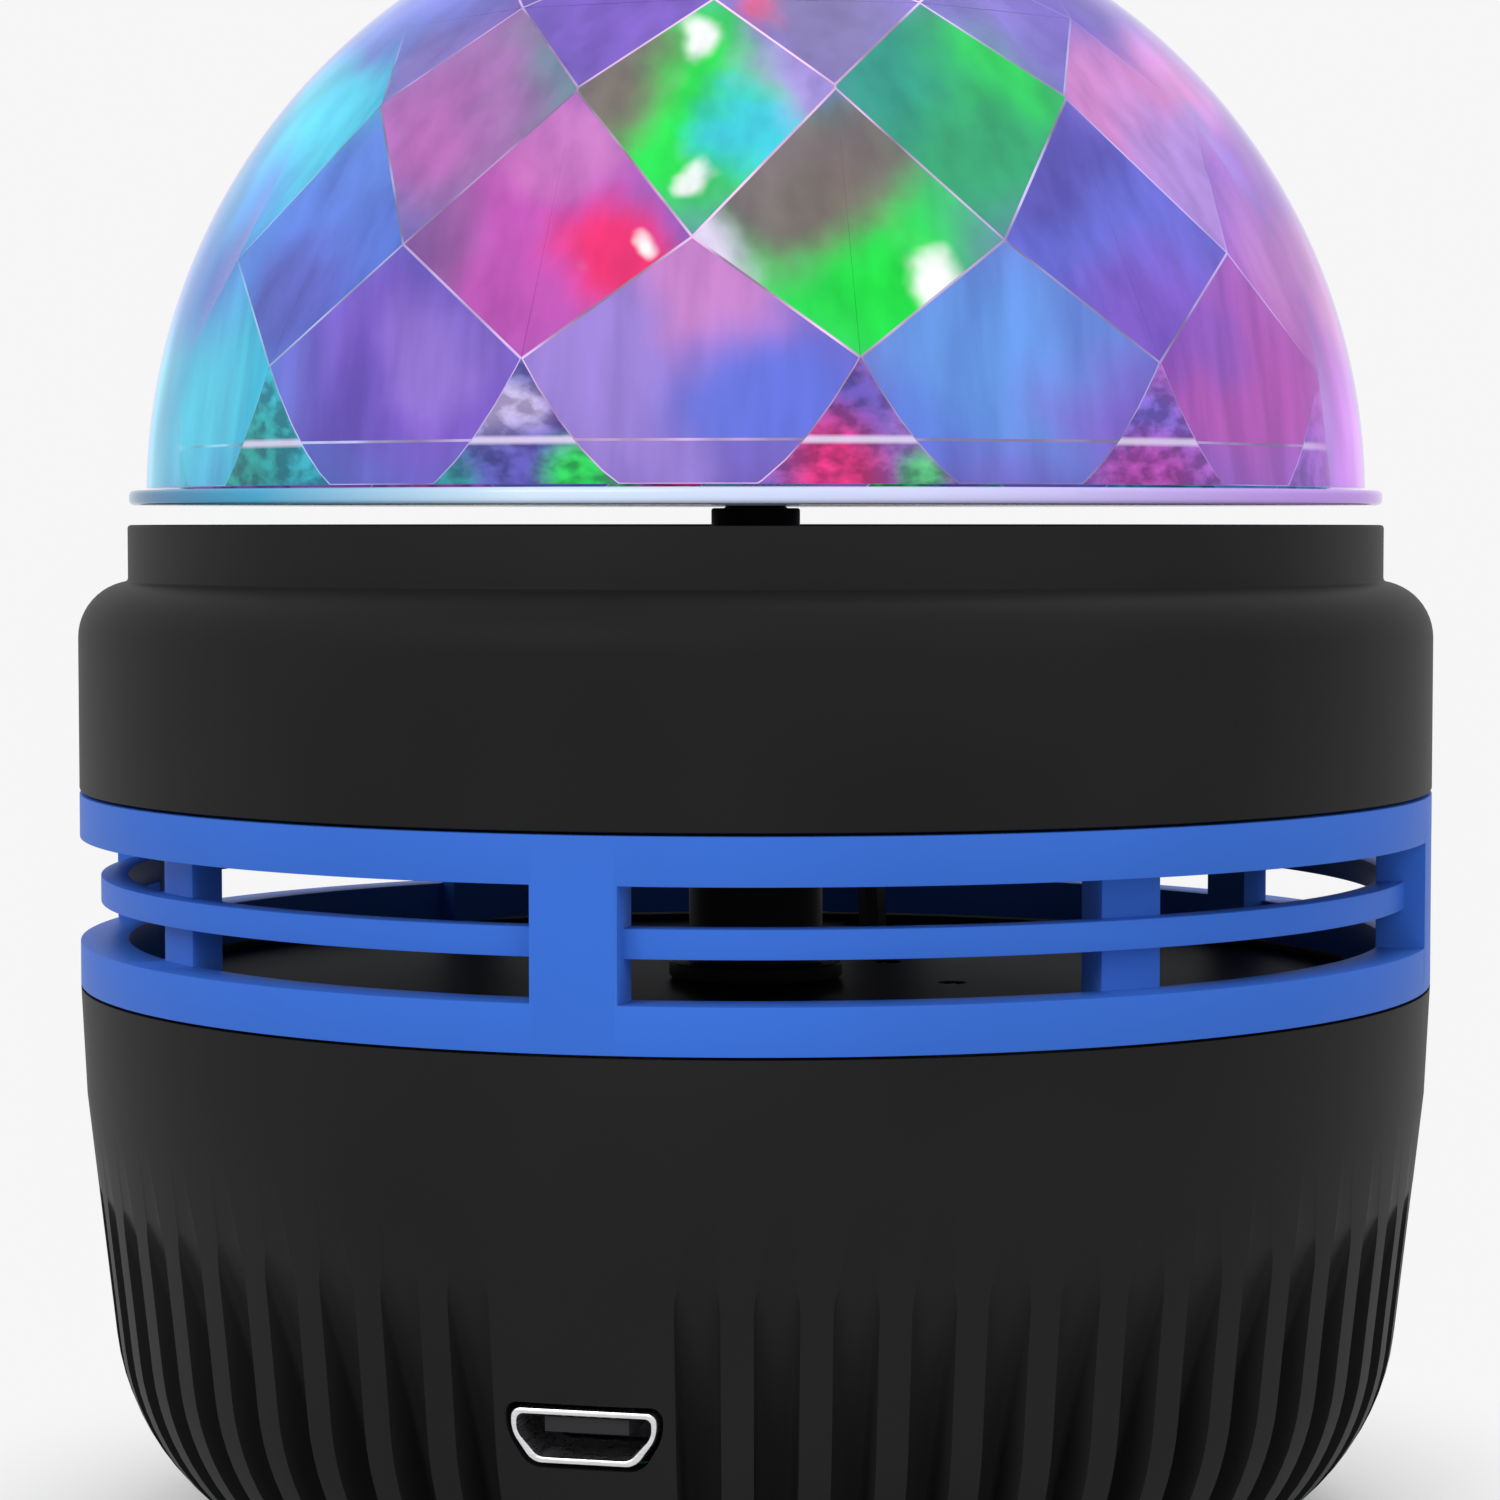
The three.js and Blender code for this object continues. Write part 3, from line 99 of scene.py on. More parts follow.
def noise(tree, links, scale, stretch=(1, 1, 1), detail=2):
    mapping = tree.new("ShaderNodeMapping")
    mapping.inputs["Scale"].default_value = stretch
    links.new(objectPlace(tree), mapping.inputs["Vector"])
    node = tree.new("ShaderNodeTexNoise")
    node.inputs["Scale"].default_value = scale
    node.inputs["Detail"].default_value = detail
    links.new(mapping.outputs["Vector"], node.inputs["Vector"])
    return node


def addBump(tree, links, height, shader, strength, distance):
    bump = tree.new("ShaderNodeBump")
    bump.inputs["Strength"].default_value = strength
    bump.inputs["Distance"].default_value = distance
    links.new(height, bump.inputs["Height"])
    links.new(bump.outputs["Normal"], shader.inputs["Normal"])


def ramp(tree, links, value, stops):
    node = tree.new("ShaderNodeValToRGB")
    elements = node.color_ramp.elements
    elements[0].position, elements[0].color = stops[0][0], (*stops[0][1], 1)
    elements[1].position, elements[1].color = stops[-1][0], (*stops[-1][1], 1)
    for position, colour in stops[1:-1]:
        elements.new(position).color = (*colour, 1)
    links.new(value, node.inputs["Fac"])
    return node.outputs["Color"]


# camera, floor and light

photoCamera = {
    "azimuth": 13.4,       # degrees, counted from the socket's side towards +X
    "distance": 245 * mm,  # from the lamp's axis
    "eyeHeight": 60 * mm,
    "pitchDown": 3.229,
    "lens": 98.28,
    "sensor": 36,
    "shiftX": -0.0038,
    "clipStart": 0.01,
}


def addCamera(p):
    azimuth = math.radians(p["azimuth"])
    place = (p["distance"] * math.sin(azimuth), -p["distance"] * math.cos(azimuth), p["eyeHeight"])
    turn = (math.radians(90 - p["pitchDown"]), 0, azimuth)
    bpy.ops.object.camera_add(location=place, rotation=turn)
    camera = bpy.context.object
    camera.data.lens = p["lens"]
    camera.data.sensor_width = p["sensor"]
    camera.data.shift_x = p["shiftX"]
    camera.data.clip_start = p["clipStart"]
    bpy.context.scene.camera = camera


backdrop = {
    "camera": 0.921,       # what the camera, mirrors and clear plastic see of the world
    "light": 0.80,
    "floor": 0.72,
    "floorRoughness": 0.9,
    "floorHalf": 3.0,
    "shadowReach": 26 * mm,
    "blendReach": 60 * mm,
}


def addWorld(p):
    world = bpy.data.worlds.new("studio")
    bpy.context.scene.world = world
    world.use_nodes = True
    tree, links = world.node_tree.nodes, world.node_tree.links
    background = tree["Background"]
    background.inputs["Color"].default_value = (1, 1, 1, 1)
    path = tree.new("ShaderNodeLightPath")
    seen = path.outputs["Is Camera Ray"]
    for kind in ("Is Glossy Ray", "Is Transmission Ray"):
        seen = linkMath(tree, links, "MAXIMUM", seen, path.outputs[kind])
    links.new(mapRange(tree, links, seen, 0, 1, p["light"], p["camera"]), background.inputs["Strength"])


def paleFloor(p):
    # holds the lamp's shadow and fades into the backdrop further out
    material, tree, links = newMaterial("paleFloor")
    shader = tree["Principled BSDF"]
    shader.inputs["Base Color"].default_value = (p["floor"], p["floor"], p["floor"], 1)
    shader.inputs["Roughness"].default_value = p["floorRoughness"]
    shader.inputs["Specular IOR Level"].default_value = 0
    far = tree.new("ShaderNodeEmission")
    far.inputs["Color"].default_value = (1, 1, 1, 1)
    far.inputs["Strength"].default_value = p["camera"]
    away = linkMath(tree, links, "LENGTH", objectPlace(tree), vector=True)
    blend = mapRange(tree, links, away, p["shadowReach"], p["blendReach"], 0, 1, "SMOOTHSTEP")
    mix = tree.new("ShaderNodeMixShader")
    links.new(blend, mix.inputs["Fac"])
    links.new(shader.outputs["BSDF"], mix.inputs[1])
    links.new(far.outputs["Emission"], mix.inputs[2])
    links.new(mix.outputs["Shader"], tree["Material Output"].inputs["Surface"])
    return material


def addFloor(p):
    bpy.ops.mesh.primitive_plane_add(size=2 * p["floorHalf"])
    floor = bpy.context.object
    floor.name = "floor"
    floor.data.materials.append(paleFloor(p))


# all lamps point at the same place, part way up the body
lampTarget = Vector((0, 0, 50 * mm))
studioLamps = [
    {"name": "keyLamp", "place": (-0.32, -0.86, 0.65), "size": 0.6, "power": 6.5},
    {"name": "fillLamp", "place": (0.75, -0.60, 0.35), "size": 0.7, "power": 2.5},
    {"name": "topLamp", "place": (0.10, 0.35, 0.90), "size": 0.5, "power": 3.0},
]


def addLamps(lamps, target):
    for lamp in lamps:
        bpy.ops.object.light_add(type="AREA", location=lamp["place"])
        light = bpy.context.object
        light.name = lamp["name"]
        light.data.size = lamp["size"]
        light.data.energy = lamp["power"]
        light.rotation_euler = (target - light.location).to_track_quat("-Z", "Y").to_euler()


bpy.context.scene.view_settings.view_transform = "Standard"
addCamera(photoCamera)
addWorld(backdrop)
addFloor(backdrop)
addLamps(studioLamps, lampTarget)
print("camera, floor and lamps are set")


# modelling helpers

def startPiece(name):
    piece = bpy.context.object
    piece.name = name
    piece.data.name = name
    return piece


def deselectAll():
    if bpy.context.object and bpy.context.object.mode == "EDIT":
        bpy.ops.object.mode_set(mode="OBJECT")
    bpy.ops.object.select_all(action="DESELECT")


def makeActive(piece):
    deselectAll()
    piece.select_set(True)
    bpy.context.view_layer.objects.active = piece


def selectVertices(piece, test):
    # edit mode on, with the vertices that pass the test selected
    makeActive(piece)
    bpy.ops.object.mode_set(mode="EDIT")
    bpy.ops.mesh.select_all(action="DESELECT")
    bpy.ops.mesh.select_mode(type="VERT")
    bpy.ops.object.mode_set(mode="OBJECT")
    for vertex in piece.data.vertices:
        vertex.select = test(vertex.co)
    bpy.ops.object.mode_set(mode="EDIT")


def settle(piece):
    # place, turn and scale go into the mesh
    makeActive(piece)
    bpy.ops.object.transform_apply(location=True, rotation=True, scale=True)


mergeDistance = 1e-6


def recalculate(piece):
    makeActive(piece)
    bpy.ops.object.mode_set(mode="EDIT")
    bpy.ops.mesh.select_all(action="SELECT")
    bpy.ops.mesh.remove_doubles(threshold=mergeDistance)
    bpy.ops.mesh.normals_make_consistent(inside=False)
    bpy.ops.object.mode_set(mode="OBJECT")


def applyModifier(piece, modifier):
    makeActive(piece)
    bpy.ops.object.modifier_apply(modifier=modifier.name)


def roundEdges(piece, width, segments=2, angle=35):
    bevel = piece.modifiers.new("edges", "BEVEL")
    bevel.width = width
    bevel.segments = segments
    bevel.limit_method = "ANGLE"
    bevel.angle_limit = math.radians(angle)
    bevel.use_clamp_overlap = True
    applyModifier(piece, bevel)


def smooth(piece, angle=30):
    makeActive(piece)
    bpy.ops.object.shade_smooth_by_angle(angle=math.radians(angle))


def turned(name, profile, segments=192, filled=False):
    # a ring pulled along a profile of (radius, height), closed if it ends where it starts,
    # or a filled one, a solid that ends in a point
    deselectAll()
    radius, height = profile[0]
    fill = "NGON" if filled else "NOTHING"
    bpy.ops.mesh.primitive_circle_add(
        vertices=segments, radius=radius, fill_type=fill, location=(0, 0, height))
    piece = startPiece(name)
    bpy.ops.object.transform_apply(location=True)
    bpy.ops.object.mode_set(mode="EDIT")
    bpy.ops.mesh.select_mode(type="VERT")
    bpy.ops.mesh.select_all(action="SELECT")
    for nextRadius, nextHeight in profile[1:]:
        bpy.ops.mesh.extrude_region_move(TRANSFORM_OT_translate={"value": (0, 0, nextHeight - height)})
        scale = nextRadius / radius
        bpy.ops.transform.resize(value=(scale, scale, 1), center_override=(0, 0, nextHeight))
        radius, height = nextRadius, nextHeight
    if filled:
        bpy.ops.mesh.merge(type="CENTER")
    bpy.ops.object.mode_set(mode="OBJECT")
    recalculate(piece)
    return piece


def cutAway(piece, point, normal):
    # what lies past the plane goes, and the cut is closed
    makeActive(piece)
    bpy.ops.object.mode_set(mode="EDIT")
    bpy.ops.mesh.select_all(action="SELECT")
    away = Vector(normal).normalized()
    bpy.ops.mesh.bisect(
        plane_co=point, plane_no=away, use_fill=True, clear_outer=True, threshold=mergeDistance / 10)
    bpy.ops.object.mode_set(mode="OBJECT")


def selectEdges(piece, test):
    # edit mode on, with the edges whose two ends pass the test selected
    makeActive(piece)
    bpy.ops.object.mode_set(mode="EDIT")
    bpy.ops.mesh.select_all(action="DESELECT")
    bpy.ops.mesh.select_mode(type="EDGE")
    bpy.ops.object.mode_set(mode="OBJECT")
    places = piece.data.vertices
    for edge in piece.data.edges:
        a, b = (places[i].co for i in edge.vertices)
        edge.select = test(a, b)
    bpy.ops.object.mode_set(mode="EDIT")


def arc(centre, radius, start, end, steps):
    angles = [math.radians(start + (end - start) * i / steps) for i in range(steps + 1)]
    return [(centre[0] + radius * math.cos(a), centre[1] + radius * math.sin(a)) for a in angles]


def joinPieces(pieces, name):
    deselectAll()
    for piece in pieces:
        piece.select_set(True)
    bpy.context.view_layer.objects.active = pieces[0]
    bpy.ops.object.join()
    return startPiece(name)


def boolean(piece, other, operation):
    cutter = piece.modifiers.new(operation.lower(), "BOOLEAN")
    cutter.operation = operation
    cutter.solver = "EXACT"
    cutter.use_self = operation == "DIFFERENCE"
    cutter.object = other
    applyModifier(piece, cutter)
    mesh = other.data
    bpy.data.objects.remove(other)
    bpy.data.meshes.remove(mesh)


def block(name, low, high):
    deselectAll()
    centre = [(a + b) / 2 for a, b in zip(low, high)]
    bpy.ops.mesh.primitive_cube_add(size=1, location=centre, scale=[b - a for a, b in zip(low, high)])
    piece = startPiece(name)
    settle(piece)
    return piece


def drumSolid(name, radius, bottom, top, segments, centre=(0, 0)):
    deselectAll()
    bpy.ops.mesh.primitive_cylinder_add(
        vertices=segments, radius=radius, depth=top - bottom, location=(0, 0, (top + bottom) / 2))
    piece = startPiece(name)
    settle(piece)
    if any(centre):
        piece.location = (*centre, 0)
        settle(piece)
    return piece


def placedCopy(piece, centre=(0, 0), azimuth=0.0):
    # a copy with a mesh of its own
    copy = piece.copy()
    copy.data = piece.data.copy()
    bpy.context.collection.objects.link(copy)
    copy.location = (*centre, 0)
    copy.rotation_euler = (0, 0, azimuth)
    settle(copy)
    return copy


def finishPiece(piece, body, material, slot, *replaced):
    piece.data.materials.clear()
    piece.data.materials.append(material)
    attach(piece, body)
    if replaced:
        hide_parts(*replaced)
    return piece


# materials

plasticFinish = {
    "cloudScale": 45,       # slow unevenness of colour and gloss
    "cloudRange": (0.3, 0.7),
    "glossSpread": 0.05,
    "grazing": 0.5,         # share of the light left at a grazing view
    "grainDepth": 0.05 * mm,
}

metalFinish = {
    "lineScale": 900,
    "lineStretch": (1, 1, 12),
    "lineRange": (0.3, 0.7),
    "darkShare": 0.86,
    "glossSpread": 0.08,
    "bump": 0.08,
    "lineDepth": 0.04 * mm,
}


def mouldedPlastic(name, colour, roughness, grain=2600, spread=0.12, bump=0.05, sheen=0.5):
    # a fine spark-eroded grain, slightly uneven colour and gloss
    p = plasticFinish
    material, tree, links = newMaterial(name)
    shader = tree["Principled BSDF"]
    shader.inputs["Specular IOR Level"].default_value = sheen
    shader.inputs["Specular Tint"].default_value = (p["grazing"], p["grazing"], p["grazing"], 1)
    cloud = noise(tree, links, p["cloudScale"]).outputs["Fac"]
    shades = [tuple(c * (1 + way * spread) for c in colour) for way in (-1, 1)]
    tint = ramp(tree, links, cloud, list(zip(p["cloudRange"], shades)))
    links.new(tint, shader.inputs["Base Color"])
    spreads = (roughness - p["glossSpread"], roughness + p["glossSpread"])
    links.new(mapRange(tree, links, cloud, 0, 1, *spreads), shader.inputs["Roughness"])
    addBump(tree, links, noise(tree, links, grain).outputs["Fac"], shader, bump, p["grainDepth"])
    return material


def brushedMetal(name, colour, roughness):
    p = metalFinish
    material, tree, links = newMaterial(name)
    shader = tree["Principled BSDF"]
    shader.inputs["Metallic"].default_value = 1
    lines = noise(tree, links, p["lineScale"], p["lineStretch"]).outputs["Fac"]
    shades = [tuple(c * p["darkShare"] for c in colour), colour]
    links.new(ramp(tree, links, lines, list(zip(p["lineRange"], shades))), shader.inputs["Base Color"])
    spreads = (roughness - p["glossSpread"], roughness + p["glossSpread"])
    links.new(mapRange(tree, links, lines, 0, 1, *spreads), shader.inputs["Roughness"])
    addBump(tree, links, lines, shader, p["bump"], p["lineDepth"])
    return material


def facetPlace(tree, links, p):
    # where a point counts as lying, across and up from the dome's centre: drawn part of the way to
    # its facet's middle, so each facet keeps a colour of its own, and the back half repeats the front
    azimuth = math.radians(p["front"])
    position = objectPlace(tree)
    facet = tree.new("ShaderNodeAttribute")
    facet.attribute_name = "facet"
    middle = facet.outputs["Vector"]
    forward = (math.sin(azimuth), -math.cos(azimuth), 0)
    side = linkMath(tree, links, "SIGN", linkMath(tree, links, "DOT_PRODUCT", middle, forward, True))
    pulled = tree.new("ShaderNodeMix")
    pulled.data_type = "VECTOR"
    ends = [x for x in pulled.inputs if x.type == "VECTOR" and x.name in ("A", "B")]
    links.new(position, ends[0])
    links.new(middle, ends[1])
    pulled.inputs[0].default_value = p["toFacet"]
    place = next(x for x in pulled.outputs if x.type == "VECTOR")
    ripple = noise(tree, links, p["rippleScale"], detail=4).outputs["Color"]
    shift = linkMath(tree, links, "SUBTRACT", ripple, (0.5, 0.5, 0.5), True)
    shift = linkMath(tree, links, "MULTIPLY", shift, (p["ripple"], p["ripple"], p["ripple"]), True)
    place = linkMath(tree, links, "ADD", place, shift, True)
    sideways = (math.cos(azimuth), math.sin(azimuth), 0)
    across = linkMath(tree, links, "DOT_PRODUCT", place, sideways, True)
    across = linkMath(tree, links, "MULTIPLY", across, side)
    flat = tree.new("ShaderNodeCombineXYZ")
    links.new(across, flat.inputs["X"])
    links.new(linkMath(tree, links, "DOT_PRODUCT", place, (0, 0, 1), True), flat.inputs["Z"])
    return flat.outputs["Vector"], across


def acrossColour(tree, links, across, p, stops):
    share = mapRange(tree, links, across, -p["halfWidth"], p["halfWidth"], 0, 1)
    return ramp(tree, links, share, stops)


def glowColour(tree, links, p):
    # a ground colour across the dome, the plastic's violet with painted lamp light towards its sides, and each
    # lamp's glow painted over it in turn
    place, across = facetPlace(tree, links, p)
    colour = acrossColour(tree, links, across, p, p["ground"])
    for acrossAt, upAt, size, tint, strength in p["glows"]:
        centre = (acrossAt * mm, 0, p["centreHeight"] + upAt * mm)
        reach = linkMath(tree, links, "DISTANCE", place, centre, True)
        core = p["glowCore"] * size * mm
        factor = mapRange(tree, links, reach, core, size * mm, strength, 0, "SMOOTHSTEP")
        colour = mixColour(tree, links, factor, colour, (*p["palette"][tint], 1))
    return colour


def lightUp(tree, links, shader, colour, p):
    # lit clear plastic: part of its colour is reflected light, and part is the lamps' light painted in as a
    # glow of its own
    reflect = (p["reflect"], p["reflect"], p["reflect"], 1)
    reflected = mixColour(tree, links, 1.0, colour, reflect, "MULTIPLY")
    links.new(reflected, shader.inputs["Base Color"])
    links.new(colour, shader.inputs["Emission Color"])
    shader.inputs["Emission Strength"].default_value = p["emission"]
    shader.inputs["Roughness"].default_value = p["roughness"]
    shader.inputs["Specular IOR Level"].default_value = p["sheen"]


def streak(tree, links, colour, p):
    # the colour multiplied by a fine pattern of shades
    pattern = noise(tree, links, p["scale"], p["stretch"], p["detail"]).outputs["Fac"]
    shade = ramp(tree, links, pattern, p["shades"])
    return mixColour(tree, links, p["amount"], colour, shade, "MULTIPLY"), pattern


def litFacets(name, p):
    # clear facets with the light of the lamps under them painted in, and fine upright streaks
    material, tree, links = newMaterial(name)
    shader = tree["Principled BSDF"]
    colour, streaks = streak(tree, links, glowColour(tree, links, p), p["facetStreaks"])
    lightUp(tree, links, shader, colour, p)
    addBump(tree, links, streaks, shader, p["facetBump"], p["streakDepth"])
    return material


def rimStrip(name, p):
    # the dome's upright rim between the petals: dark hatching, over painted lamp light, under a painted
    # highlight along the crease
    material, tree, links = newMaterial(name)
    shader = tree["Principled BSDF"]
    rimLight = {**p, "toFacet": 0.0, "ground": p["rimGround"], "glows": p["rimGlows"]}
    colour = streak(tree, links, glowColour(tree, links, rimLight), p["rimHatch"])[0]
    # painted highlight: pale where the height is close to the crease's
    height = linkMath(tree, links, "DOT_PRODUCT", objectPlace(tree), (0, 0, 1), True)
    above = linkMath(tree, links, "SUBTRACT", height, p["centreHeight"] + p["crease"])
    off = linkMath(tree, links, "ABSOLUTE", above)
    creaseHighlight = mapRange(tree, links, off, *p["creaseHighlightWidths"], p["creaseHighlightStrength"], 0)
    colour = mixColour(tree, links, creaseHighlight, colour, (*p["palette"]["pale"], 1))
    lightUp(tree, links, shader, colour, p)
    return material


def ridgeGlass(name, p):
    # the thin ridges between facets, which catch the light
    material, tree, links = newMaterial(name)
    across = facetPlace(tree, links, p)[1]
    colour = acrossColour(tree, links, across, p, p["ridges"])
    colour = streak(tree, links, colour, p["ridgeFade"])[0]
    lightUp(tree, links, tree["Principled BSDF"], colour, p)
    return material


def clearSkin(name, p):
    # clear polished plastic: nearly invisible face on, and seen along its wall it shows the facets' lamp light
    # painted in, with a painted dark edge
    material, tree, links = newMaterial(name)
    shader = tree["Principled BSDF"]
    skinLight = {**p, "toFacet": 0.0, "ripple": p["skinRipple"], "rippleScale": p["skinRippleScale"]}
    colour = streak(tree, links, glowColour(tree, links, skinLight), p["skinStreaks"])[0]
    weight = tree.new("ShaderNodeLayerWeight")
    weight.inputs["Blend"].default_value = 0.5
    facing = weight.outputs["Facing"]
    # painted shade: the colour darkens to indigo where the wall is seen edge on
    edge = mapRange(tree, links, facing, *p["edgeRange"], 0, p["edgeShade"])
    colour = mixColour(tree, links, edge, colour, (*p["palette"]["indigo"], 1))
    lightUp(tree, links, shader, colour, p)
    shader.inputs["Roughness"].default_value = p["skinRoughness"]
    shader.inputs["Specular Tint"].default_value = (*p["skinTint"], 1)
    alpha = mapRange(tree, links, facing, *p["clearRange"], *p["clearAlpha"], "SMOOTHSTEP")
    links.new(alpha, shader.inputs["Alpha"])
    return material


def discGlass(name, p):
    # clear disc lit from its edge, the lamps' light painted in: cyan on one side, pale in the middle, violet
    # on the other, with a faint painted glow
    material, tree, links = newMaterial(name)
    shader = tree["Principled BSDF"]
    turn = math.radians(p["front"])
    sideways = (math.cos(turn), math.sin(turn), 0)
    across = linkMath(tree, links, "DOT_PRODUCT", objectPlace(tree), sideways, True)
    tint = acrossColour(tree, links, across, p, p["edgeLightColours"])
    links.new(tint, shader.inputs["Base Color"])
    links.new(tint, shader.inputs["Emission Color"])
    shader.inputs["Emission Strength"].default_value = p["emission"]
    shader.inputs["Roughness"].default_value = p["roughness"]
    shader.inputs["Specular IOR Level"].default_value = p["sheen"]
    return material


# the dome's sizes, and the lamps' light as it shows in it

dome = {
    "columns": 12,
    "firstAzimuth": 7.5,
    "hollow": 34.1 * mm,
    "hollowSegments": 180,
    # radius and height above the dome's centre of the corners between the rows
    "corners": [
        (34.1 * mm, 7.2 * mm), (32.0 * mm, 13.5 * mm), (26.6 * mm, 21.9 * mm),
        (21.86 * mm, 27.0 * mm), (18.1 * mm, 29.8 * mm), (14.04 * mm, 32.0 * mm),
    ],
    "sink": 0.55 * mm,
    "lastAngle": 89.2,       # where the outside's rings end, just short of the top
    "steps": 60,
    "ridge": 0.07 * mm,
    "crease": 3.0 * mm,
    "skinDepth": 0.3 * mm,   # faces this close to the outside belong to the smooth skin
    "level": 0.999,          # upward part of a level face's normal
    "upright": 0.003,        # and of an upright one's
}

domePalette = {
    "green": (0.01, 0.76, 0.06),
    "deepGreen": (0.01, 0.42, 0.12),
    "teal": (0.02, 0.32, 0.26),
    "cyan": (0.05, 0.62, 0.78),
    "sky": (0.12, 0.32, 0.80),
    "blue": (0.10, 0.17, 0.74),
    "indigo": (0.10, 0.08, 0.42),
    "violet": (0.24, 0.10, 0.60),
    "lavender": (0.42, 0.28, 0.78),
    "magenta": (0.56, 0.08, 0.46),
    "hotPink": (0.86, 0.02, 0.16),
    "pink": (0.72, 0.26, 0.62),
    "grey": (0.14, 0.12, 0.26),
    "mauve": (0.40, 0.17, 0.42),
    "umber": (0.20, 0.14, 0.15),
    "pale": (0.82, 0.72, 0.95),
    "white": (1.0, 1.0, 1.0),
}

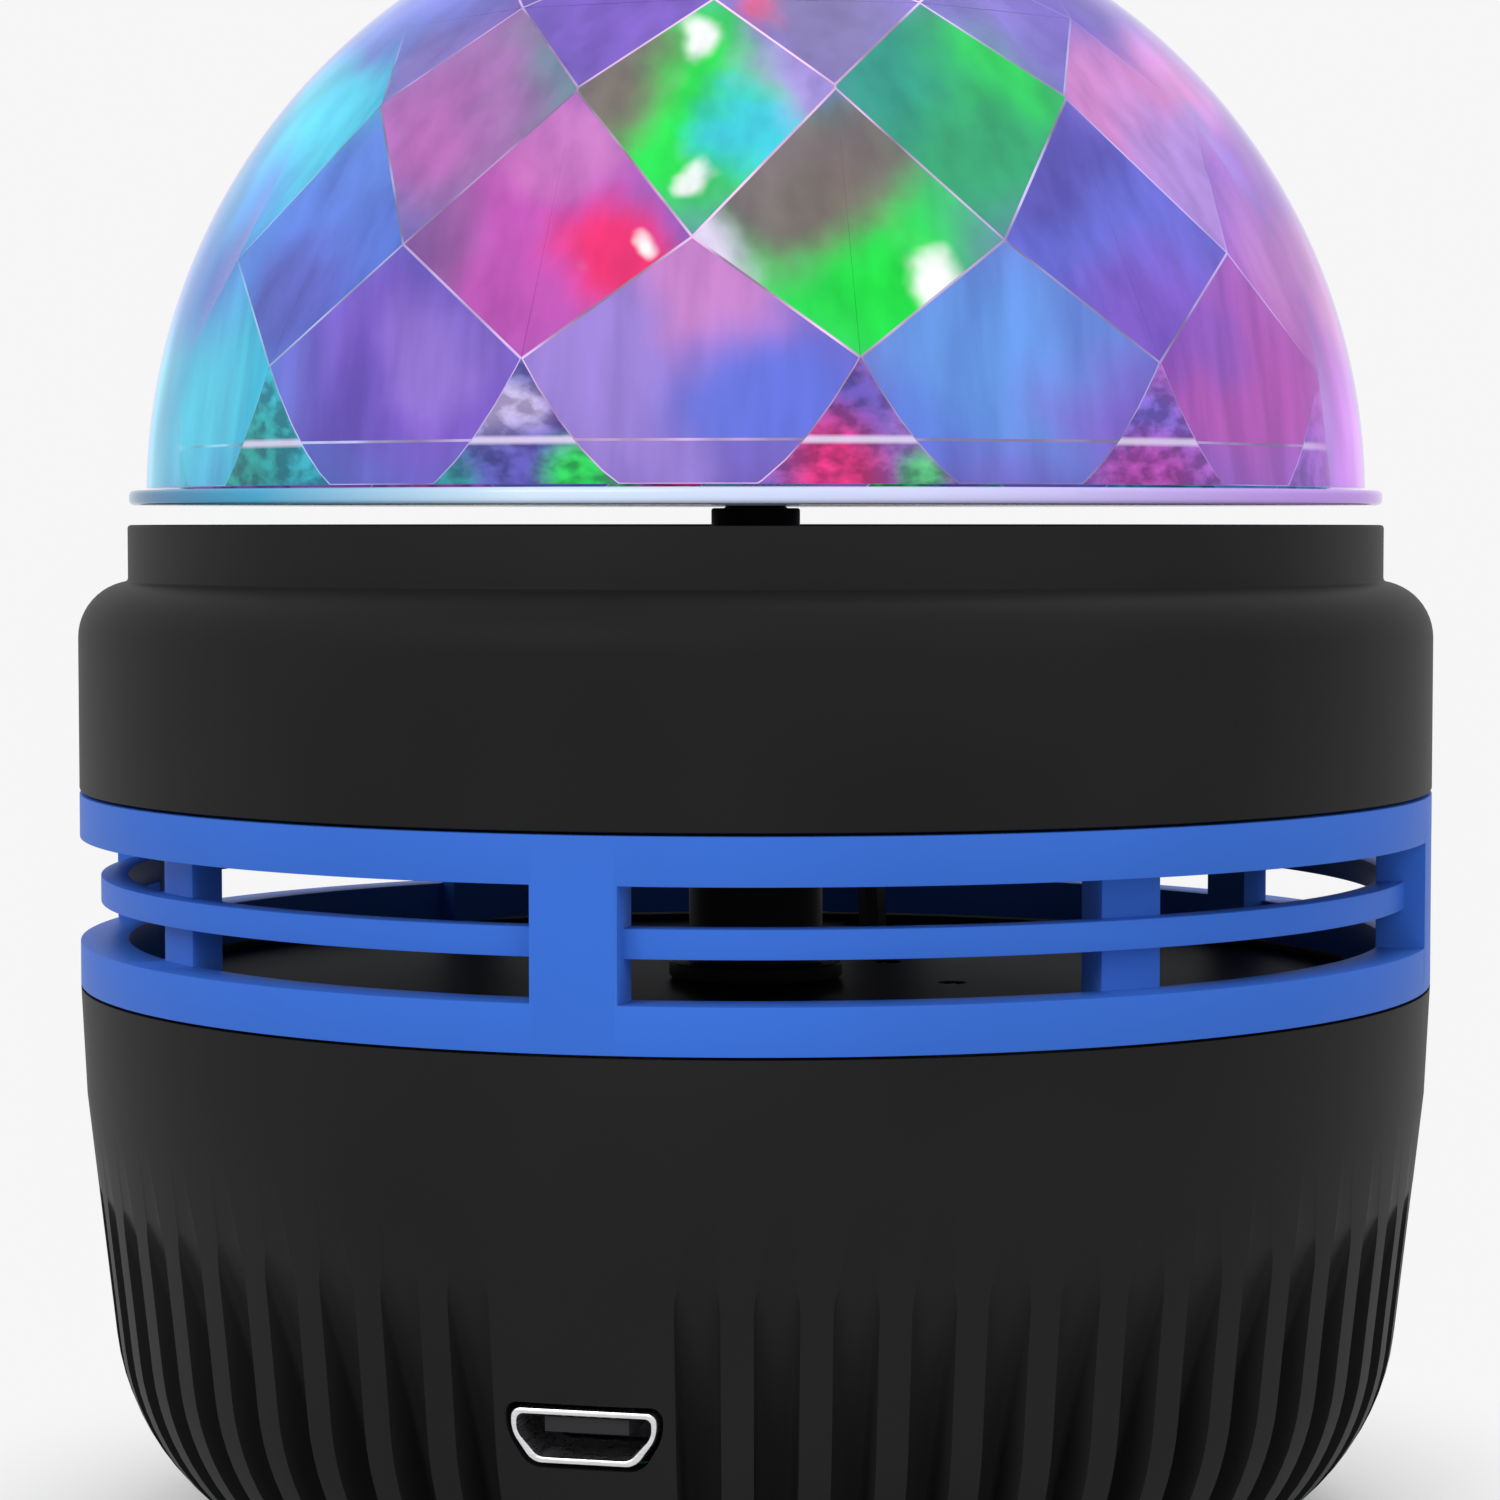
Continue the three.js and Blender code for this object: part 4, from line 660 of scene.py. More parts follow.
domeLight = {
    "front": photoCamera["azimuth"],
    "halfWidth": 36 * mm,
    "toFacet": 0.5,
    "ripple": 5.0 * mm,
    "rippleScale": 95,
    "reflect": 0.5,
    "emission": 0.35,
    "roughness": 0.3,
    "sheen": 0.15,
    "glowCore": 0.25,
    "facetBump": 0.2,
    "streakDepth": 0.2 * mm,
    "skinRipple": 12.5 * mm,
    "skinRippleScale": 55,
    "skinRoughness": 0.08,
    "skinTint": (0.16, 0.14, 0.26),
    "edgeRange": (0.88, 0.97),
    "edgeShade": 0.9,
    "clearRange": (0.50, 0.76),
    "clearAlpha": (0.03, 1.0),
    "centreHeight": 61.1 * mm,
    "crease": dome["crease"],
    "creaseHighlightWidths": (0.08 * mm, 0.28 * mm),
    "creaseHighlightStrength": 0.85,
    "facetStreaks": {
        "scale": 420, "stretch": (1, 1, 0.14), "detail": 3, "amount": 1.0,
        "shades": [(0.32, (0.80, 0.78, 0.84)), (0.52, (1, 1, 1)), (0.70, (1.16, 1.14, 1.16))],
    },
    "rimHatch": {
        "scale": 700, "stretch": (1, 1, 1.6), "detail": 4, "amount": 0.6,
        "shades": [(0.40, (0.25, 0.2, 0.35)), (0.52, (0.9, 0.9, 0.95)), (0.64, (1.5, 1.4, 1.5))],
    },
    "skinStreaks": {
        "scale": 120, "stretch": (1, 1, 0.5), "detail": 2, "amount": 1.0,
        "shades": [(0.36, (0.70, 0.66, 0.80)), (0.50, (1, 1, 1)), (0.64, (1.5, 1.4, 1.5))],
    },
    "ridgeFade": {
        "scale": 160, "stretch": (1, 1, 1), "detail": 2, "amount": 1.0,
        "shades": [(0.38, (0.35, 0.35, 0.35)), (0.62, (1.1, 1.1, 1.1))],
    },
    "palette": domePalette,
    "ground": [
        (0.02, (0.06, 0.50, 0.72)), (0.16, (0.10, 0.24, 0.68)), (0.32, (0.14, 0.10, 0.44)),
        (0.55, (0.20, 0.14, 0.56)), (0.75, (0.17, 0.12, 0.56)), (0.98, (0.50, 0.16, 0.68)),
    ],
    "ridges": [
        (0.03, (0.25, 0.75, 0.90)), (0.28, (0.62, 0.45, 0.85)), (0.5, (0.95, 0.60, 0.90)),
        (0.75, (0.55, 0.52, 0.95)), (0.97, (0.75, 0.40, 0.95)),
    ],
    # each lamp's glow painted on the facets, the small white spots among them painted highlights: across and
    # up from the dome's centre and size, in mm, then colour and strength
    "glows": [
        (-30.2, 5.8, 6.5, "cyan", 0.75), (-31.5, 12.6, 5.5, "sky", 0.7),
        (-18.8, 5.8, 6.5, "violet", 0.8), (-20.0, 4.2, 3.0, "indigo", 0.5), (-17.5, 7.0, 2.2, "lavender", 0.4),
        (-5.6, 5.4, 5.5, "lavender", 0.65), (-2.3, 8.2, 3.2, "pink", 0.75), (-0.9, 4.8, 4.0, "blue", 0.8),
        (-5.0, 1.8, 2.8, "lavender", 0.6),
        (13.6, 6.4, 6.5, "sky", 0.95), (16.8, 4.4, 3.6, "violet", 0.75), (11.2, 3.6, 3.0, "blue", 0.7),
        (27.4, 5.8, 6.5, "magenta", 0.65), (25.7, 7.5, 2.5, "violet", 0.7),
        (-11.2, 12.8, 6.5, "magenta", 0.9), (-14.0, 13.6, 2.6, "grey", 0.5), (-10.6, 15.6, 2.4, "pink", 0.6),
        (-9.0, 12.1, 2.6, "hotPink", 1.0), (-8.2, 12.5, 0.5, "white", 0.95),
        (5.0, 12.8, 6.5, "green", 0.92), (3.4, 14.9, 3.4, "umber", 0.95), (5.0, 16.4, 2.0, "umber", 0.8),
        (6.0, 11.2, 3.0, "green", 1.0), (7.5, 12.4, 1.2, "white", 0.95), (1.4, 12.5, 1.9, "pale", 0.95),
        (19.6, 12.9, 6.5, "blue", 0.6), (20.6, 10.9, 3.4, "violet", 0.8), (17.6, 15.1, 2.4, "indigo", 0.7),
        (-24.2, 13.0, 6.0, "blue", 0.5), (-25.0, 11.6, 3.0, "indigo", 0.7), (31.5, 12.6, 5.5, "pink", 0.6),
        (-3.2, 21.0, 6.0, "green", 0.95), (-5.4, 21.6, 2.6, "umber", 0.95), (-3.1, 22.7, 1.0, "white", 0.95),
        (-2.4, 19.0, 0.7, "white", 0.9), (-1.5, 20.4, 1.7, "cyan", 0.95), (-0.2, 22.2, 2.3, "lavender", 0.9),
        (10.6, 21.2, 6.5, "deepGreen", 0.9), (12.2, 22.2, 2.6, "green", 0.6), (8.2, 22.4, 2.8, "teal", 0.85),
        (-15.2, 21.2, 6.5, "mauve", 0.85), (-17.2, 20.4, 2.6, "magenta", 0.4), (-12.6, 22.0, 2.6, "teal", 0.6),
        (-24.2, 21.0, 5.5, "cyan", 0.9), (21.2, 21.6, 6.0, "pink", 0.85), (22.6, 19.6, 3.0, "lavender", 0.8),
        (-4.5, 33.0, 4.5, "sky", 0.6), (5.0, 33.2, 4.5, "magenta", 0.5),
        (-7.5, 26.5, 4.0, "violet", 0.5), (2.0, 26.6, 1.2, "hotPink", 0.8), (3.8, 26.5, 3.0, "grey", 0.6),
    ],
    "rimGround": [
        (0.02, (0.04, 0.50, 0.62)), (0.20, (0.04, 0.42, 0.50)), (0.35, (0.16, 0.10, 0.44)),
        (0.62, (0.30, 0.14, 0.50)), (0.98, (0.50, 0.14, 0.66)),
    ],
    "rimGlows": [
        (-29.1, 1.6, 6.0, "teal", 0.9), (-12.8, 4.2, 2.6, "pale", 0.75), (-12.8, 1.6, 3.4, "indigo", 0.7),
        (-9.2, 0.8, 3.2, "green", 0.9), (-16.0, 1.0, 2.4, "teal", 0.8), (4.9, 4.2, 3.4, "indigo", 0.85),
        (4.4, 1.0, 4.0, "hotPink", 0.85), (9.0, 1.4, 1.8, "green", 0.7), (20.8, 4.0, 3.2, "blue", 0.6),
        (20.4, 1.2, 3.6, "magenta", 0.8), (30.0, 1.5, 5.0, "violet", 0.8),
    ],
}


materials = {
    "black_plastic": mouldedPlastic("blackPlastic", (0.0120, 0.0120, 0.0125), 0.48, sheen=0.05),
    "blue_plastic": mouldedPlastic("bluePlastic", (0.031, 0.112, 0.46), 0.45, spread=0.05, sheen=0.06),
    "foot_rubber": mouldedPlastic("footRubber", (0.012, 0.012, 0.012), 0.85, grain=1500, bump=0.15),
    "board_green": mouldedPlastic("boardGreen", (0.02, 0.16, 0.06), 0.35),
    "board_white": mouldedPlastic("boardWhite", (0.80, 0.80, 0.77), 0.45),
    "chip_black": mouldedPlastic("chipBlack", (0.012, 0.012, 0.014), 0.55),
    "cable_sleeve": mouldedPlastic("cableSleeve", (0.015, 0.015, 0.018), 0.5),
    "nylon": mouldedPlastic("nylon", (0.78, 0.76, 0.68), 0.5),
    "light_body": mouldedPlastic("lightBody", (0.85, 0.84, 0.72), 0.3),
    "lens_red": mouldedPlastic("lensRed", (0.90, 0.05, 0.12), 0.08),
    "lens_green": mouldedPlastic("lensGreen", (0.04, 0.80, 0.15), 0.08),
    "lens_blue": mouldedPlastic("lensBlue", (0.06, 0.20, 0.95), 0.08),
    "clear_plastic": clearSkin("clearPlastic", domeLight),
    "steel": brushedMetal("steel", (0.72, 0.72, 0.74), 0.28),
    "capacitor_can": brushedMetal("capacitorCan", (0.75, 0.75, 0.77), 0.35),
    "bush_brass": brushedMetal("bushBrass", (0.78, 0.57, 0.22), 0.30),
}
for entry in frame["record"]["subparts"]:
    node = nodes[entry["node"]]
    node.data.materials.clear()
    node.data.materials.append(materials[entry["material_slot"]])
print("materials are made")


# upper housing: cup with a rounded shoulder and a stepped neck

upperHousing = {
    "neckRadius": 37.1 * mm,
    "neckWall": 1.8 * mm,
    "shoulder": 3.3 * mm,
    "shoulderRise": 8.9 * mm,
    "ledge": 1.4 * mm,
    "ledgeDepth": 2.65 * mm,
    "ledgeHeight": 1.2 * mm,
    "slope": 4.5 * mm,
    "wall": 2.4 * mm,
    "floor": 1.6 * mm,
    "hole": 4.3 * mm,
    "edge": 0.18 * mm,
    "shoulderSteps": 12,
}


def makeUpperHousing(p):
    low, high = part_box("upper_housing")
    radius, bottom, top = high.x, low.z, high.z
    centre = (radius - p["shoulder"], bottom + p["shoulderRise"])
    end = math.degrees(math.acos((p["neckRadius"] - centre[0]) / p["shoulder"]))
    neckInner = p["neckRadius"] - p["neckWall"]
    ledgeTop = top - p["ledgeDepth"]
    ledgeFoot = ledgeTop - p["ledgeHeight"]
    profile = [(p["hole"], bottom), (radius, bottom)]
    profile += arc(centre, p["shoulder"], 0, end, p["shoulderSteps"])
    profile += [
        (p["neckRadius"], top),
        (neckInner, top),
        (neckInner, ledgeTop),
        (neckInner - p["ledge"], ledgeTop),
        (neckInner - p["ledge"], ledgeFoot),
        (radius - p["wall"], ledgeFoot - p["slope"]),
        (radius - p["wall"], bottom + p["floor"]),
        (p["hole"], bottom + p["floor"]),
        (p["hole"], bottom),
    ]
    piece = turned("upperHousingSkin", profile)
    roundEdges(piece, p["edge"], 2, 40)
    smooth(piece)
    finishPiece(piece, "base", materials["black_plastic"], "black_plastic", "upper_housing")


makeUpperHousing(upperHousing)
print("upper housing is modelled")


# vent ring: two bands, a set-back middle ring, four posts and four ribs

ventRing = {
    "wall": 2.8 * mm,
    "band": 2.55 * mm,
    "slot": 2.25 * mm,
    "middleInset": 1.2 * mm,
    "post": 4.64 * mm,
    "rib": 3.8 * mm,
    "ribDepth": 1.5 * mm,
    "ribSeat": 0.3 * mm,
    "ribInset": 0.1 * mm,
    "edge": 0.12 * mm,
    "segments": 240,
    "clear": 2 * mm,         # how far the slots' cutter reaches past the wall
}


def ringBetween(name, inner, outer, bottom, top, segments=192):
    profile = [(inner, bottom), (outer, bottom), (outer, top), (inner, top), (inner, bottom)]
    return turned(name, profile, segments)


def slotCutter(p, inner, radius, low, high):
    # both slots and the set-back between them in one ring, with gaps left for the posts
    clear, slot, middle = p["clear"], p["slot"], radius - p["middleInset"]
    cutter = turned("slots", [
        (inner - clear, low), (radius + clear, low), (radius + clear, high), (inner - clear, high),
        (inner - clear, high - slot), (middle, high - slot),
        (middle, low + slot), (inner - clear, low + slot), (inner - clear, low),
    ], p["segments"])
    reach = radius + 2 * clear
    for halfX, halfY in ((p["post"] / 2, reach), (reach, p["post"] / 2)):
        bar = block("bar", (-halfX, -halfY, low - clear), (halfX, halfY, high + clear))
        boolean(cutter, bar, "DIFFERENCE")
    return cutter


def addRibs(piece, p, inner, bottom, top):
    for i in range(4):
        low, high = bottom + p["ribInset"], top - p["ribInset"]
        outer = inner + p["ribSeat"]
        rib = ringBetween("rib", inner - p["ribDepth"], outer, low, high)
        bar = block("bar", (-p["rib"] / 2, 0, bottom), (p["rib"] / 2, 2 * outer, top))
        bar.rotation_euler = (0, 0, (i + 0.5) * math.pi / 2)
        settle(bar)
        boolean(rib, bar, "INTERSECT")
        boolean(piece, rib, "UNION")


def makeVentRing(p):
    low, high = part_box("vent_ring")
    radius = high.x
    inner = radius - p["wall"]
    piece = ringBetween("ventRingSkin", inner, radius, low.z, high.z, p["segments"])
    boolean(piece, slotCutter(p, inner, radius, low.z + p["band"], high.z - p["band"]), "DIFFERENCE")
    addRibs(piece, p, inner, low.z, high.z)
    recalculate(piece)
    roundEdges(piece, p["edge"], 2, 40)
    smooth(piece)
    finishPiece(piece, "base", materials["blue_plastic"], "blue_plastic", "vent_ring")


makeVentRing(ventRing)
print("vent ring is modelled")


# lower housing: fluted body with a round corner, the socket's tunnel and the button's hole

lowerHousing = {
    "segments": 240,
    "taperBreakDrop": 6.25 * mm,
    "taperBreakInset": 0.3 * mm,
    "corner": 14 * mm,
    "cornerInset": 1.8 * mm,
    "cornerRise": 13.1 * mm,
    "cornerStart": 6.6,
    "cornerSteps": 14,
    "plateSeat": 2.7 * mm,
    "seatDepth": 1.6 * mm,
    "cavity": 36 * mm,
    "cover": 26.7 * mm,
    "coverDepth": 1.6 * mm,
    "opening": 21.5 * mm,
    "flange": 1.8 * mm,
    "wallAtFoot": 30 * mm,
    "fluteCount": 60,
    "fluteTopDrop": 11.45 * mm,
    "fluteFootRise": 1.2 * mm,
    "fluteShare": 0.58,
    "fluteRunOut": 0.5 * mm,
    "fluteEdge": 0.45 * mm,
    "flutePast": 1 * mm,
    "fluteMargin": 0.1 * mm,
    "plainAngle": 7.2,       # half the angle left plain round the socket and the button
    "tunnelGap": 0.3 * mm,
    "tunnelPast": 4 * mm,
    "holeGap": 0.3 * mm,
    "holeMiddle": 39 * mm,
    "holeLength": 12 * mm,
    "holeSegments": 64,
    "buttonRadius": 2.5 * mm,
}


def lowerCorner(p, radius, bottom):
    return radius - p["cornerInset"] - p["corner"], bottom + p["cornerRise"]


def lowerOuter(p, radius, bottom, top, z):
    # the outer radius at a height: a taper, a steeper taper and the round corner
    centre = lowerCorner(p, radius, bottom)
    start = math.radians(-p["cornerStart"])
    startRadius = centre[0] + p["corner"] * math.cos(start)
    startHeight = centre[1] + p["corner"] * math.sin(start)
    breakRadius, breakHeight = radius - p["taperBreakInset"], top - p["taperBreakDrop"]
    if z > breakHeight:
        return breakRadius + (radius - breakRadius) * (z - breakHeight) / (top - breakHeight)
    if z > startHeight:
        share = (z - startHeight) / (breakHeight - startHeight)
        return startRadius + (breakRadius - startRadius) * share
    return centre[0] + math.sqrt(p["corner"] ** 2 - (centre[1] - z) ** 2)


def makeFluteCutter(p, radius, bottom, top):
    # one flute's cutter on the +X side: a wedge whose inner face leans out towards the top
    foot, head = bottom + p["fluteFootRise"], top - p["fluteTopDrop"]
    footRadius = lowerOuter(p, radius, bottom, top, foot)
    headRadius = lowerOuter(p, radius, bottom, top, head)
    slope = (headRadius - footRadius) / (head - foot)
    low, high = foot - p["fluteRunOut"], head + p["fluteRunOut"]
    lowRadius = footRadius - slope * p["fluteRunOut"]
    highRadius = headRadius + slope * p["fluteRunOut"]
    halfShare = math.tan(math.pi / p["fluteCount"] * p["fluteShare"])
    halfWidth = highRadius * halfShare
    outside = radius + p["flutePast"]
    piece = block("fluteCutter", (highRadius, -halfWidth, low), (outside, halfWidth, high))
    middle = (low + high) / 2
    selectVertices(piece, lambda co: co.z < middle and co.x < highRadius + p["fluteMargin"])
    bpy.ops.transform.translate(value=(lowRadius - highRadius, 0, 0))
    bpy.ops.transform.resize(value=(1, lowRadius / highRadius, 1), center_override=(lowRadius, 0, low))
    selectVertices(piece, lambda co: co.x > outside - p["fluteMargin"])
    bpy.ops.transform.resize(value=(1, outside / highRadius, 1), center_override=(outside, 0, middle))
    inside = highRadius + p["fluteMargin"]
    selectEdges(piece, lambda a, b: max(a.x, b.x) < inside and abs(a.z - b.z) > p["fluteRunOut"])
    bpy.ops.mesh.bevel(offset=p["fluteEdge"], segments=3, affect="EDGES")
    bpy.ops.object.mode_set(mode="OBJECT")
    return piece


def makeLowerHousing(p):
    low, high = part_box("lower_housing")
    radius, bottom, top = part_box("vent_ring")[1].x, low.z, high.z
    centre = lowerCorner(p, radius, bottom)
    footAngle = math.degrees(math.asin(p["cornerRise"] / p["corner"]))
    profile = [(p["cover"], bottom)]
    profile += arc(centre, p["corner"], -footAngle, -p["cornerStart"], p["cornerSteps"])
    profile += [
        (radius - p["taperBreakInset"], top - p["taperBreakDrop"]),
        (radius, top),
        (radius - p["plateSeat"], top),
        (radius - p["plateSeat"], top - p["seatDepth"]),
        (p["cavity"], top - p["seatDepth"]),
        (p["cavity"], top - p["fluteTopDrop"]),
        (p["wallAtFoot"], bottom + p["coverDepth"] + p["flange"]),
        (p["opening"], bottom + p["coverDepth"] + p["flange"]),
        (p["opening"], bottom + p["coverDepth"]),
        (p["cover"], bottom + p["coverDepth"]),
        (p["cover"], bottom),
    ]
    piece = turned("lowerHousingSkin", profile, p["segments"])
    first = makeFluteCutter(p, radius, bottom, top)
    pitch = 2 * math.pi / p["fluteCount"]
    cutters = []
    for i in range(p["fluteCount"]):
        azimuth = (i + 0.5) * pitch
        if abs(math.cos(azimuth)) < math.cos(math.radians(90 - p["plainAngle"])):
            continue
        cutters.append(placedCopy(first, azimuth=azimuth))
    bpy.data.objects.remove(first)
    boolean(piece, joinPieces(cutters, "flutes"), "DIFFERENCE")
    return piece


socket = {
    "width": 7.8 * mm,
    "height": 2.85 * mm,
    "side": 1.25 * mm,
    "foot": 5.5 * mm,
    "round": 0.5 * mm,
    "metal": 0.33 * mm,
    "backWall": 0.4 * mm,
    "lip": 0.12 * mm,
    "roundSteps": 5,
}


def shellSolid(name, front, back, grow=0.0):
    # a bar with the socket's outline, wide side up: a box with its two lower corners cut off and its
    # long edges rounded
    low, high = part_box("usb_shell")
    middle = (low.z + high.z) / 2
    width, height, foot = (socket[k] / 2 + grow for k in ("width", "height", "foot"))
    side = socket["height"] / 2 - socket["side"]
    piece = block(name, (-width, front, middle - height), (width, back, middle + height))
    for way in (-1, 1):
        away = (way * (side + height), 0, foot - width)
        cutAway(piece, (way * foot, front, middle - height), away)
    selectEdges(piece, lambda a, b: abs(a.y - b.y) > 0.5 * abs(back - front))
    bpy.ops.mesh.bevel(offset=socket["round"] + grow / 2, segments=socket["roundSteps"], affect="EDGES")
    bpy.ops.object.mode_set(mode="OBJECT")
    recalculate(piece)
    return piece


def cutSocketAndButton(piece, p):
    # the tunnel follows the socket's shell, and the hole the button
    shellLow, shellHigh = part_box("usb_shell")
    centreHeight = (shellLow.z + shellHigh.z) / 2
    tunnel = shellSolid("tunnel", shellLow.y - p["tunnelPast"], shellHigh.y, p["tunnelGap"])
    boolean(piece, tunnel, "DIFFERENCE")
    deselectAll()
    bpy.ops.mesh.primitive_cylinder_add(
        vertices=p["holeSegments"], radius=p["buttonRadius"] + p["holeGap"], depth=p["holeLength"],
        location=(0, p["holeMiddle"], centreHeight), rotation=(math.pi / 2, 0, 0))
    hole = startPiece("buttonHole")
    settle(hole)
    boolean(piece, hole, "DIFFERENCE")


lower = makeLowerHousing(lowerHousing)
cutSocketAndButton(lower, lowerHousing)
recalculate(lower)
smooth(lower)
finishPiece(lower, "base", materials["black_plastic"], "black_plastic", "lower_housing")
print("lower housing is modelled")


def makeSocket(p):
    low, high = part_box("usb_shell")
    shell = shellSolid("socketShell", low.y, high.y)
    hollow = shellSolid("hollow", low.y - past, high.y - p["backWall"], -p["metal"])
    boolean(shell, hollow, "DIFFERENCE")
    roundEdges(shell, p["lip"], 2, 50)
    smooth(shell, 40)
    finishPiece(shell, "base", materials["steel"], "steel", "usb_shell")


makeSocket(socket)
print("socket is modelled")


# small pieces: dome hub, centre tube, rear button, feet, bottom cover and the socket's tongue

smallSegments = 96
hub = {"spigot": 1.8 * mm, "shoulderDrop": 0.85 * mm, "bore": 0.95 * mm, "edge": 0.15 * mm}


def makeHub(p):
    low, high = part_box("dome_hub")
    shoulder = high.z - p["shoulderDrop"]
    piece = turned("hubTurned", [
        (p["bore"], low.z), (high.x, low.z), (high.x, shoulder), (p["spigot"], shoulder),
        (p["spigot"], high.z), (p["bore"], high.z), (p["bore"], low.z),
    ], smallSegments)
    roundEdges(piece, p["edge"], 3)
    smooth(piece)
    finishPiece(piece, "dome", materials["black_plastic"], "black_plastic", "dome_hub")


tube = {
    "radius": 4 * mm,
    "wall": 1.4 * mm,
    "collarStart": 1.35 * mm,
    "collarHeight": 0.9 * mm,
    "edge": 0.15 * mm,
}


def makeTube(p):
    low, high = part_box("centre_tube")
    bore, collar = p["radius"] - p["wall"], low.z + p["collarStart"]
    collarTop = collar + p["collarHeight"]
    piece = turned("tubeTurned", [
        (bore, low.z), (p["radius"], low.z), (p["radius"], collar), (high.x, collar),
        (high.x, collarTop), (p["radius"], collarTop),
        (p["radius"], high.z), (bore, high.z), (bore, low.z),
    ], smallSegments)
    roundEdges(piece, p["edge"], 3)
    smooth(piece)
    finishPiece(piece, "base", materials["black_plastic"], "black_plastic", "centre_tube")


button = {
    "radius": 2.5 * mm,
    "flange": 0.5 * mm,
    "crown": 0.35 * mm,
    "crownSteps": 6,
    "dish": 0.18 * mm,
    "dishRadius": 1.7 * mm,
    "dishShape": [(1, 0), (0.7, 0.6), (0.3, 1), (0.05, 1)],  # shares of the dish's radius and depth
}


def makeButton(p):
    low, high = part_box("mode_button")
    middle = (low.z + high.z) / 2
    reach = high.y
    profile = [(high.x, low.y), (high.x, low.y + p["flange"]), (p["radius"], low.y + p["flange"])]
    rim = (p["radius"] - p["crown"], reach - p["crown"])
    profile += arc(rim, p["crown"], 0, 90, p["crownSteps"])
    profile += [(r * p["dishRadius"], reach - d * p["dish"]) for r, d in p["dishShape"]]
    piece = turned("buttonTurned", profile, smallSegments, filled=True)
    piece.rotation_euler = (-math.pi / 2, 0, 0)
    piece.location = (0, 0, middle)
    settle(piece)
    smooth(piece)
    finishPiece(piece, "button", materials["black_plastic"], "black_plastic", "mode_button")


foot = {
    "edge": 0.35 * mm,
    "edgeSteps": 4,
    "groove": 0.25 * mm,
    "grooveShape": [(0.50, 0), (0.56, 1), (0.68, 1), (0.74, 0)],  # shares of the radius and depth
    "core": 0.1,
    "tip": 0.02,
    "segments": 72,
}


def middleOf(low, high):
    return (low.x + high.x) / 2, (low.y + high.y) / 2


def makeFeet(p):
    # one foot is turned, with a grip groove round its sole, and the four are its copies
    low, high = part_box("rubber_foot_1")
    radius = (high.x - low.x) / 2
    profile = [(p["core"] * radius, low.z)]
    profile += [(r * radius, low.z + d * p["groove"]) for r, d in p["grooveShape"]]
    profile += arc((radius - p["edge"], low.z + p["edge"]), p["edge"], -90, 0, p["edgeSteps"])
    profile += [(radius, high.z), (p["core"] * radius, high.z), (p["tip"] * radius, high.z)]
    first = turned("footTurned", profile, p["segments"], filled=True)
    for i in range(1, 5):
        node = f"rubber_foot_{i}"
        piece = placedCopy(first, middleOf(*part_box(node)))
        piece.name = piece.data.name = f"footTurned_{i}"
        smooth(piece)
        finishPiece(piece, "base", materials["foot_rubber"], "foot_rubber", node)
    bpy.data.objects.remove(first)


cover = {
    "segments": 192,
    "footPocket": 1.0 * mm,
    "gap": 0.3 * mm,
    "pocketSegments": 72,
    "headPocket": 0.8 * mm,
    "headRadius": 2.1 * mm,
    "holeRadius": 1.1 * mm,
    "holeSegments": 48,
    "screwInset": 2.2 * mm,
    "screwAzimuths": (45, 165, 285),
    "edge": 0.12 * mm,
    "flatAngle": 20,
}


def makeCover(p):
    low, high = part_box("base_cover")
    piece = drumSolid("coverPlate", high.x, low.z, high.z, p["segments"])
    bottom = low.z - past
    for i in range(1, 5):
        footLow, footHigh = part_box(f"rubber_foot_{i}")
        radius = (footHigh.x - footLow.x) / 2 + p["gap"]
        pocketTop = low.z + p["footPocket"]
        centre = middleOf(footLow, footHigh)
        pocket = drumSolid("pocket", radius, bottom, pocketTop, p["pocketSegments"], centre)
        boolean(piece, pocket, "DIFFERENCE")
    circle = high.x - p["screwInset"]
    for azimuth in p["screwAzimuths"]:
        a = math.radians(azimuth)
        centre = (circle * math.sin(a), -circle * math.cos(a))
        holes = ((p["headRadius"], low.z + p["headPocket"]), (p["holeRadius"], high.z + past))
        for radius, top in holes:
            hole = drumSolid("hole", radius, bottom, top, p["holeSegments"], centre)
            boolean(piece, hole, "DIFFERENCE")
    roundEdges(piece, p["edge"], 2)
    smooth(piece, p["flatAngle"])
    finishPiece(piece, "base", materials["black_plastic"], "black_plastic", "base_cover")


tongue = {
    "width": 4.5 * mm,
    "thickness": 0.8 * mm,
    "lift": 0.5 * mm,
    "root": 1 * mm,
    "edge": 0.1 * mm,
    "contacts": 5,
    "pitch": 0.65 * mm,
    "contact": 0.3 * mm,
    "contactRise": 0.06 * mm,
    "contactEdge": 0.03 * mm,
    "setBack": 0.25 * mm,
}


